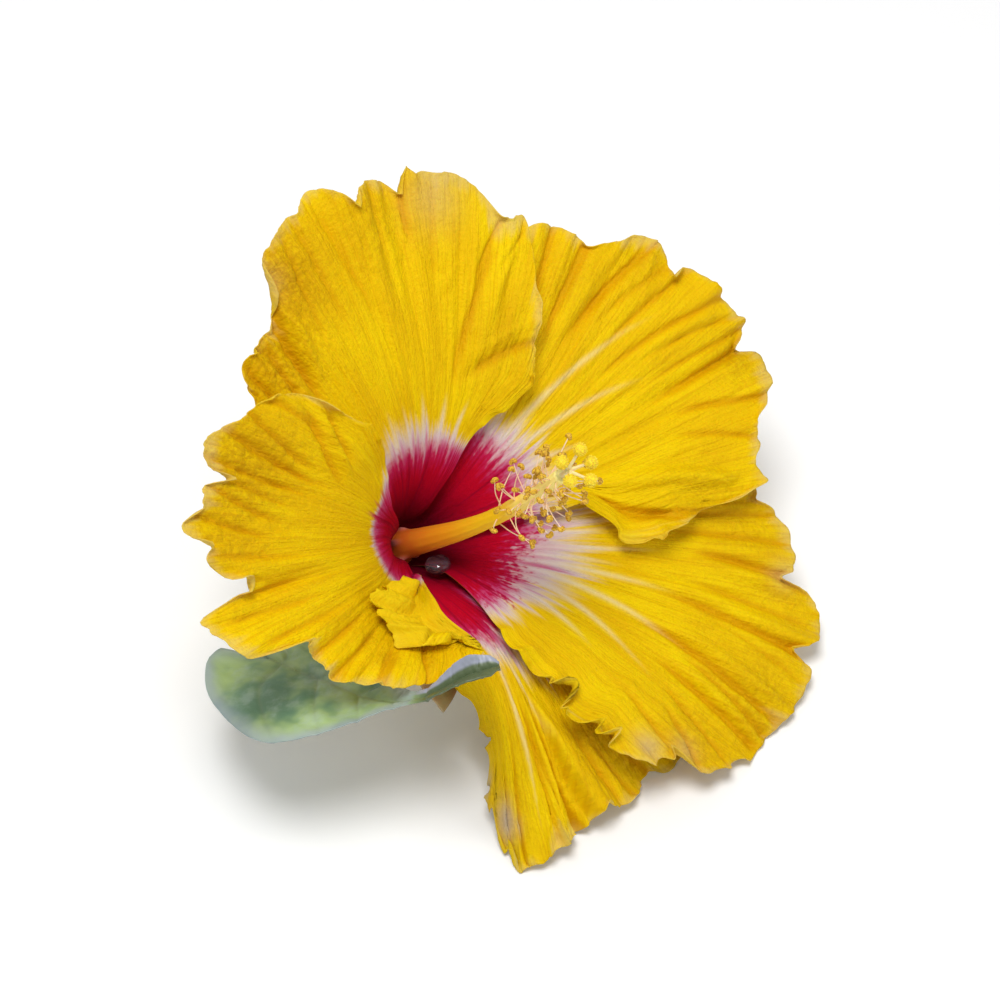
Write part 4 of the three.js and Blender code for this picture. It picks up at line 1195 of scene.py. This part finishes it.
def bracteole_piece(index, material):
    """Narrow keeled bract, joined to the base of the calyx and curving outwards."""
    columns, rows = 15, 40
    across, along = grid_places(columns, rows)
    width = 1.05 * np.sin(np.pi * along**0.6) ** 0.8 * (1 - along**3) + 0.35 * (1 - along)
    reach = 1.6 + 12.2 * along
    sideways = across * width + 0.9 * np.sin(index * 1.7) * along**2
    rise = -1.7 + 6.3 * along - 2.2 * along**2 * np.cos(index * 2.0) + 0.35 * np.abs(across) * width
    grid = np.stack([reach, sideways, rise], -1) @ turn_z(2 * np.pi * index / BRACTEOLES).T
    half_thick = sheet_normals(grid) * (0.22 + 0.2 * (1 - np.abs(across)) * (1 - along))[..., None]
    points = from_blossom(sheet_points(grid + half_thick, grid - half_thick))
    keel = bell(across, 0.25)
    attributes = {"along": np.tile(along.ravel() * 0.7, 2), "vein": np.tile(keel.ravel(), 2)}
    name = f"bracteole_{index + 1}"
    faces = sheet_faces(columns, rows)
    make_piece(name + "_bract", points, faces, material, [name], attributes)


# ==== column, stamens and pistil =========================================================

def column_point(height):
    """Point on the column's middle line, which bends above its lower part."""
    height = np.asarray(height, float)[..., None]
    amount = COLUMN_BEND * np.maximum(height - COLUMN_BEND_START, 0) ** 2
    return amount * out_at(np.radians(COLUMN_BEND_AZIMUTH)) + height * UP


def tube_radius(height):
    taper = (np.clip(height, 0, 32) / 32) ** 0.62
    return 3.4 - 1.8 * taper - 0.25 * smoothstep(height, 34, COLUMN_LENGTH)


def column_piece(material):
    """Staminal tube with a wide foot, swellings above it, low ridges and an open end."""
    heights = np.concatenate([np.linspace(-0.6, 8, 26), np.linspace(8.6, COLUMN_LENGTH, 90)])
    angles = round_angles(COLUMN_SIDES)
    bumps = np.maximum(np.cos(angles * 5 + 0.6), 0) ** 2
    foot_height, foot_spread, foot_size = COLUMN_FOOT
    swell_height, swell_spread, swell_size = COLUMN_SWELLINGS
    radii, swell_highlight = [], []
    for height in heights:
        swell = bell(height - swell_height, swell_spread) * swell_size * bumps
        foot = foot_size * bell(height - foot_height, foot_spread)
        ridges = 0.07 * np.cos(angles * 10) * smoothstep(height, 6, 14)
        knobs = 0.10 * noise(angles * 3.2, height / 1.4, 3) * smoothstep(height, 30, 40)
        radii.append(tube_radius(height) + foot + swell + ridges + knobs)
        # the painted highlight follows the swellings' tops
        swell_highlight.append(swell)
    rings = tube_rings(column_point(heights), radii, COLUMN_SIDES)
    inside = column_point(COLUMN_LENGTH + np.array([0.15, -0.1, -2.5]))
    open_end = tube_rings(inside, [1.15, 0.85, 0.7], COLUMN_SIDES)
    points, faces, _ = tube_mesh(np.concatenate([rings, open_end]))
    end_points = open_end.shape[0] * COLUMN_SIDES
    place = [np.repeat(heights, COLUMN_SIDES), [COLUMN_LENGTH] * end_points, [0, COLUMN_LENGTH]]
    swell_highlight = np.concatenate([np.array(swell_highlight).ravel(), np.zeros(end_points), [0, 0]])
    attributes = {"height": np.concatenate(place), "swell_highlight": np.clip(swell_highlight * 1.6, 0, 0.95)}
    points = from_blossom(points)
    make_piece("column_tissue", points, faces, material, ["staminal_tube"], attributes)


def stamen_shape(index):
    """Height on the column, azimuth, reach and rise of a stamen, as in the CAD model."""
    height = FIRST_STAMEN + (LAST_STAMEN - FIRST_STAMEN) * (index / (STAMENS - 1)) ** 0.75
    reach = 5.4 + 2 * np.sin(index * 2.1) * np.sin(index * 0.7)
    return height, np.radians(index * GOLDEN_ANGLE), reach, 4 + 1.8 * np.cos(index * 1.3)


def short_stamen_shape(index):
    """The same for the short stamens between the others."""
    height = 44 + 15 * (index / (MORE_STAMENS - 1)) ** 0.8
    reach = 3.6 + 1.3 * np.sin(index * 1.7)
    return height, np.radians(index * GOLDEN_ANGLE + 68), reach, 2.6 + 1.2 * np.cos(index * 2.3)


def stamen_piece(name, shape, seed, nodes, material):
    """Filament rising from inside the tube's wall, and a bean-shaped, grainy anther."""
    height, azimuth, reach, rise = shape
    root = column_point(height)
    start = tube_radius(height)

    def at(distance, up):
        return root + out_at(azimuth) * distance + UP * up

    controls = [at(start - 0.5, -0.2), at(start + 0.5 * reach, 0.35 * rise), at(start + reach, rise)]
    path = curve_points(controls, 16)
    filament = tube_mesh(tube_rings(path, [0.24, *np.linspace(0.14, 0.09, 16)[1:]], 7))
    tangent = unit(path[-1] - path[-2])
    side = unit(np.cross(tangent, UP))
    swing = np.random.default_rng(100 + seed).uniform(0, np.pi)
    bean_axis = side * np.cos(swing) + np.cross(tangent, side) * np.sin(swing)
    turns = np.linspace(-1.9, 1.9, 15)
    bean = path[-1] + 0.3 * tangent
    bean = bean + 0.5 * (np.outer(np.sin(turns), bean_axis) + np.outer(np.cos(turns) - 1, tangent))
    girth = 0.47 * np.sqrt(np.maximum(1 - (turns / 2.05) ** 2, 0.05))
    rings = tube_rings(bean, girth, 12)
    grains = np.random.default_rng(200 + seed).uniform(0.86, 1.2, rings.shape[:2])
    rings = bean[:, None] + (rings - bean[:, None]) * grains[..., None]
    points, faces, anther = joined([with_value(filament, 0), with_value(tube_mesh(rings), 1)])
    along = np.ones(len(points))
    along[:len(filament[2])] = filament[2]
    attributes = {"anther": anther, "height": along}
    make_piece(name + "_tissue", from_blossom(points), faces, material, nodes, attributes)


def stigma_pad(centre, seed):
    """Round velvety pad covered in short papillae."""
    rng = np.random.default_rng(seed)
    parts = [with_value(ball(centre, PAD_RADIUS, 20, 14), 1)]
    for k in range(PAPILLAE):
        z = 1 - 2 * (k + 0.5) / PAPILLAE
        way = np.sqrt(1 - z * z) * out_at(k * np.radians(GOLDEN_ANGLE)) + z * UP
        way = unit(way + rng.uniform(-0.12, 0.12, 3))
        length = rng.uniform(0.22, 0.36)
        path = centre + way * np.array([[1.05], [1.12 + length * 0.6], [1.12 + length]])
        parts.append(with_value(tube_mesh(tube_rings(path, [0.1, 0.09, 0.05], 5)), 1))
    return parts


def pistil_piece(material):
    """Ovary, style and five branches with velvety stigma pads."""
    heights = np.concatenate([np.linspace(0.3, 7.5, 16), np.linspace(8.5, STYLE_END + 0.5, 60)])
    bulge = 1.25 * bell(heights - 2.4, 1.9)
    parts = [with_value(tube_mesh(tube_rings(column_point(heights), 0.5 + bulge, 14)), 0)]
    start = column_point(STYLE_END)
    for i in range(STIGMAS):
        outward = out_at(2 * np.pi * i / STIGMAS + np.radians(STIGMA_AZIMUTH))
        end = start + outward * 3.2 + UP * (3.4 + 1.1 * np.sin(i * 2))
        path = curve_points([start, start + outward * 1.3 + UP * 1.8, end], 14)
        parts.append(with_value(tube_mesh(tube_rings(path, np.linspace(0.34, 0.26, 14), 9)), 0))
        parts.extend(stigma_pad(end, PAD_SEED + i))
    points, faces, pad = joined(parts)
    points = from_blossom(points)
    make_piece("pistil_tissue", points, faces, material, ["pistil"], {"pad": pad})


# ==== pedicel, twig and leaf =============================================================

def stalk_piece(name, node, controls, radii, ridges, material, cut=0, extra=()):
    """Ridged stalk along a path, with evenly spaced radii; cut is 1 where its ends are cut."""
    count, sides = STALK_POINTS, 28
    place = np.linspace(0, 1, count)
    size = np.interp(place, np.linspace(0, 1, len(radii)), radii)
    relief = noise(round_angles(sides)[None] * 2.2, place[:, None] * 14, 11)
    profile = size[:, None] * (1 + ridges * relief)
    tube = tube_mesh(tube_rings(curve_points(controls, count), profile, sides))
    ends = np.repeat([0.0, cut], [len(tube[0]) - 2, 2])
    points, faces, values = joined([(tube[0], tube[1], ends), *extra])
    make_piece(name, from_receptacle(points), faces, material, [node], {"cut": values})


def pedicel_piece(material):
    stalk_piece("pedicel_stalk", "pedicel", PEDICEL_PATH, PEDICEL_RADII, 0.05, material)


def twig_piece(material):
    """Short cut twig with a swollen node, a bud, leaf scars and pale cut ends."""
    path = curve_points(TWIG_PATH, STALK_POINTS)
    bud_path = curve_points(path[BUD_POINT] + np.array(BUD_PATH), 14)
    bud_size = 1.15 * np.sqrt(np.maximum(1 - np.linspace(0, 1, 14) ** 2, 0.01))
    extra = [with_value(tube_mesh(tube_rings(bud_path, bud_size, 12)), 0)]
    for point, way, size in LEAF_SCARS:
        extra.append(with_value(ball(path[point] + way, size, 14, 8, (0.9, 1.3, 1.0)), 0.25))
    stalk_piece("twig_stem", "twig", TWIG_PATH, TWIG_RADII, 0.04, material, 1, extra)


def leaf_piece(material):
    """Blade with midrib and side veins, narrowing to a long tip, and its petiole."""
    columns, rows = LEAF_COLUMNS, LEAF_ROWS
    across, along = grid_places(columns, rows, 1, -1)
    midrib = curve_points(LEAF_MIDRIB, rows)
    tangent = unit(np.gradient(midrib, axis=0))
    sideways = unit(np.cross(UP, tangent))
    normal = np.cross(tangent, sideways)
    widths = smooth_value(LEAF_UPPER_WIDTH, along), smooth_value(LEAF_LOWER_WIDTH, along)
    half_width = np.where(across > 0, *widths)
    half_width = half_width * (1 + 0.02 * noise(along * 9, across, 21))
    half_width = half_width * (0.35 + 0.65 * np.sqrt(1 - smoothstep(along, 0.94, 1.0) ** 2 * 0.98))
    half_width = half_width * (0.42 + 0.58 * np.sqrt(1 - np.clip(1 - along / 0.09, 0, 1) ** 2))
    width = across * half_width
    lobe = LEAF_BASE_LOBE * (1 - smoothstep(along, 0, 0.35)) * smoothstep(np.abs(across), 0, 0.7)
    fold = 0.14 * np.abs(width) - 0.006 * width * width
    fold = fold + 0.45 * np.abs(width) * smoothstep(along, 0.5, 0.7)
    wave = 0.5 * np.sin(along * 17 + np.where(across > 0, 0, 1.5)) * across * across
    slant = along * LEAF_LENGTH - np.abs(width) * 0.75
    spacing = np.abs(((slant / LEAF_VEIN_SPACING + 0.15) % 1) - 0.5) * LEAF_VEIN_SPACING
    side_vein = bell(spacing, 0.32) * smoothstep(slant, 0, 3) * (1 - 0.5 * np.abs(across))
    main_vein = bell(width, 0.75 - 0.4 * along)
    vein = np.maximum(side_vein, main_vein)
    between = np.clip(2 * spacing / LEAF_VEIN_SPACING, 0, 1)
    quilt = 0.35 * np.sin(np.pi * between) * (1 - np.abs(across)) ** 0.5
    height = fold + wave - 0.28 * vein + 0.6 * quilt * smoothstep(half_width, 4, 10)
    height = height + 0.25 * fractal(width / 3, along * 20, 23)
    grid = midrib + sideways * width[..., None] - tangent * lobe[..., None] + normal * height[..., None]
    margin = np.minimum((1 - np.abs(across)) * half_width, (1 - along) * 60)
    # where the painted sky reflection lies: upper half of the narrow end
    painted_sky_reflection = smoothstep(along, 0.5, 0.6) * smoothstep(across, 0.35, 0.6)
    narrow = smoothstep(along, 0.5, 0.62)
    margin = np.minimum(margin, along * 60 + 3 * (1 - np.abs(across)))
    margin = np.maximum(margin, 9 * narrow)
    normals = sheet_normals(grid)
    thickness = LEAF_THICKNESS * (0.5 + 0.5 * smoothstep(margin, 0, 2))
    upper = grid + normals * (thickness / 2)[..., None]
    lower = grid - normals * (thickness / 2 + 0.5 * main_vein + 0.25 * side_vein)[..., None]
    size = np.interp(np.linspace(0, 1, 80), PETIOLE_PLACES, PETIOLE_RADII)
    petiole = tube_mesh(tube_rings(curve_points(PETIOLE_PATH, 80), size, 16))
    blade = sheet_points(upper, lower), sheet_faces(columns, rows), np.repeat([1.0, 0.0], columns * rows)
    points, faces, inner = joined([blade, with_value(petiole, 0.6)])
    attributes = {"inner": inner}
    for key, values, on_petiole in (
        ("vein", vein, 1), ("margin", margin, 9), ("narrow", narrow, 0), ("painted_sky_reflection", painted_sky_reflection, 0),
    ):
        attributes[key] = np.concatenate([np.tile(values.ravel(), 2), np.full(len(petiole[0]), on_petiole)])
    make_piece("leaf_blade", from_receptacle(points), faces, material, ["leaf"], attributes)


def water_drop(material):
    """Drop of water resting on the bottom petal inside the throat."""
    centre, above = (funnel_point(DROP_DISTANCE, np.radians(DROP_AZIMUTH), lift) for lift in (2.0, 3.0))
    points, faces, _ = ball((0, 0, 0), DROP_RADIUS, 40, 24)
    points = points - np.outer(points @ (above - centre), above - centre) * DROP_FLATTENING
    make_piece("water_drop", from_blossom(centre + points), faces, material, [])


# ==== stage ==============================================================================

def build_stage():
    """Pale floor, even white surroundings and three soft lights."""
    bpy.ops.mesh.primitive_plane_add(size=FLOOR_SIZE)
    floor = bpy.context.object
    floor.name = "floor"
    floor.data.materials.append(floor_material())
    scene = bpy.context.scene
    scene.view_settings.view_transform = "Standard"
    world = bpy.data.worlds.new("studio")
    world.use_nodes = True
    background = world.node_tree.nodes["Background"]
    background.inputs["Color"].default_value = rgb(1.0, 1.0, 1.0)
    background.inputs["Strength"].default_value = STUDIO_STRENGTH
    scene.world = world
    for name, place, size, power in LIGHTS:
        data = bpy.data.lights.new(name, "AREA")
        data.shape = "DISK"
        data.size = size
        data.energy = power
        lamp = bpy.data.objects.new(name, data)
        lamp.location = place
        aim = Vector(LIT_POINT) - Vector(place)
        lamp.rotation_euler = aim.to_track_quat("-Z", "Y").to_euler()
        scene.collection.objects.link(lamp)


def build_camera():
    """Camera that looks at the blossom from in front of it and above."""
    target = RECEPTACLE + np.array(VIEW_CENTRE) * MM
    elevation = np.radians(CAMERA_ELEVATION)
    toward = np.array([0, -np.cos(elevation), np.sin(elevation)])
    data = bpy.data.cameras.new("camera")
    data.sensor_width = SENSOR_WIDTH
    data.lens = SENSOR_WIDTH * CAMERA_DISTANCE / VIEW_WIDTH
    data.clip_start, data.clip_end = VIEW_DEPTH
    camera = bpy.data.objects.new("camera", data)
    camera.location = Vector(target + toward * CAMERA_DISTANCE)
    camera.rotation_euler = Vector(-toward).to_track_quat("-Z", "Y").to_euler()
    bpy.context.scene.collection.objects.link(camera)
    bpy.context.scene.camera = camera


# ==== assembly ===========================================================================

petal_tissue = petal_material()
for petal_name in PETALS:
    petal_piece(petal_name, petal_tissue)
calyx_tissue = calyx_material()
calyx_piece(calyx_tissue)
for bract in range(BRACTEOLES):
    bracteole_piece(bract, calyx_tissue)
column_piece(column_material())
stamen_tissue = stamen_material()
for stamen in range(STAMENS):
    stamen_name = f"stamen_{stamen + 1:02d}"
    stamen_piece(stamen_name, stamen_shape(stamen), stamen, [stamen_name], stamen_tissue)
for stamen in range(MORE_STAMENS):
    shape = short_stamen_shape(stamen)
    stamen_piece(f"short_stamen_{stamen + 1:02d}", shape, SHORT_STAMEN_SEED + stamen, [], stamen_tissue)
pistil_piece(stigma_material())
pedicel_piece(stalk_material("pedicel_skin", rgb(0.22, 0.33, 0.08), rgb(0.12, 0.20, 0.05), 0.0))
twig_piece(stalk_material("twig_bark", rgb(0.28, 0.21, 0.12), rgb(0.13, 0.10, 0.055), 1.0))
leaf_piece(leaf_material())
water_drop(water_material())
build_stage()
build_camera()

bpy.context.view_layer.update()
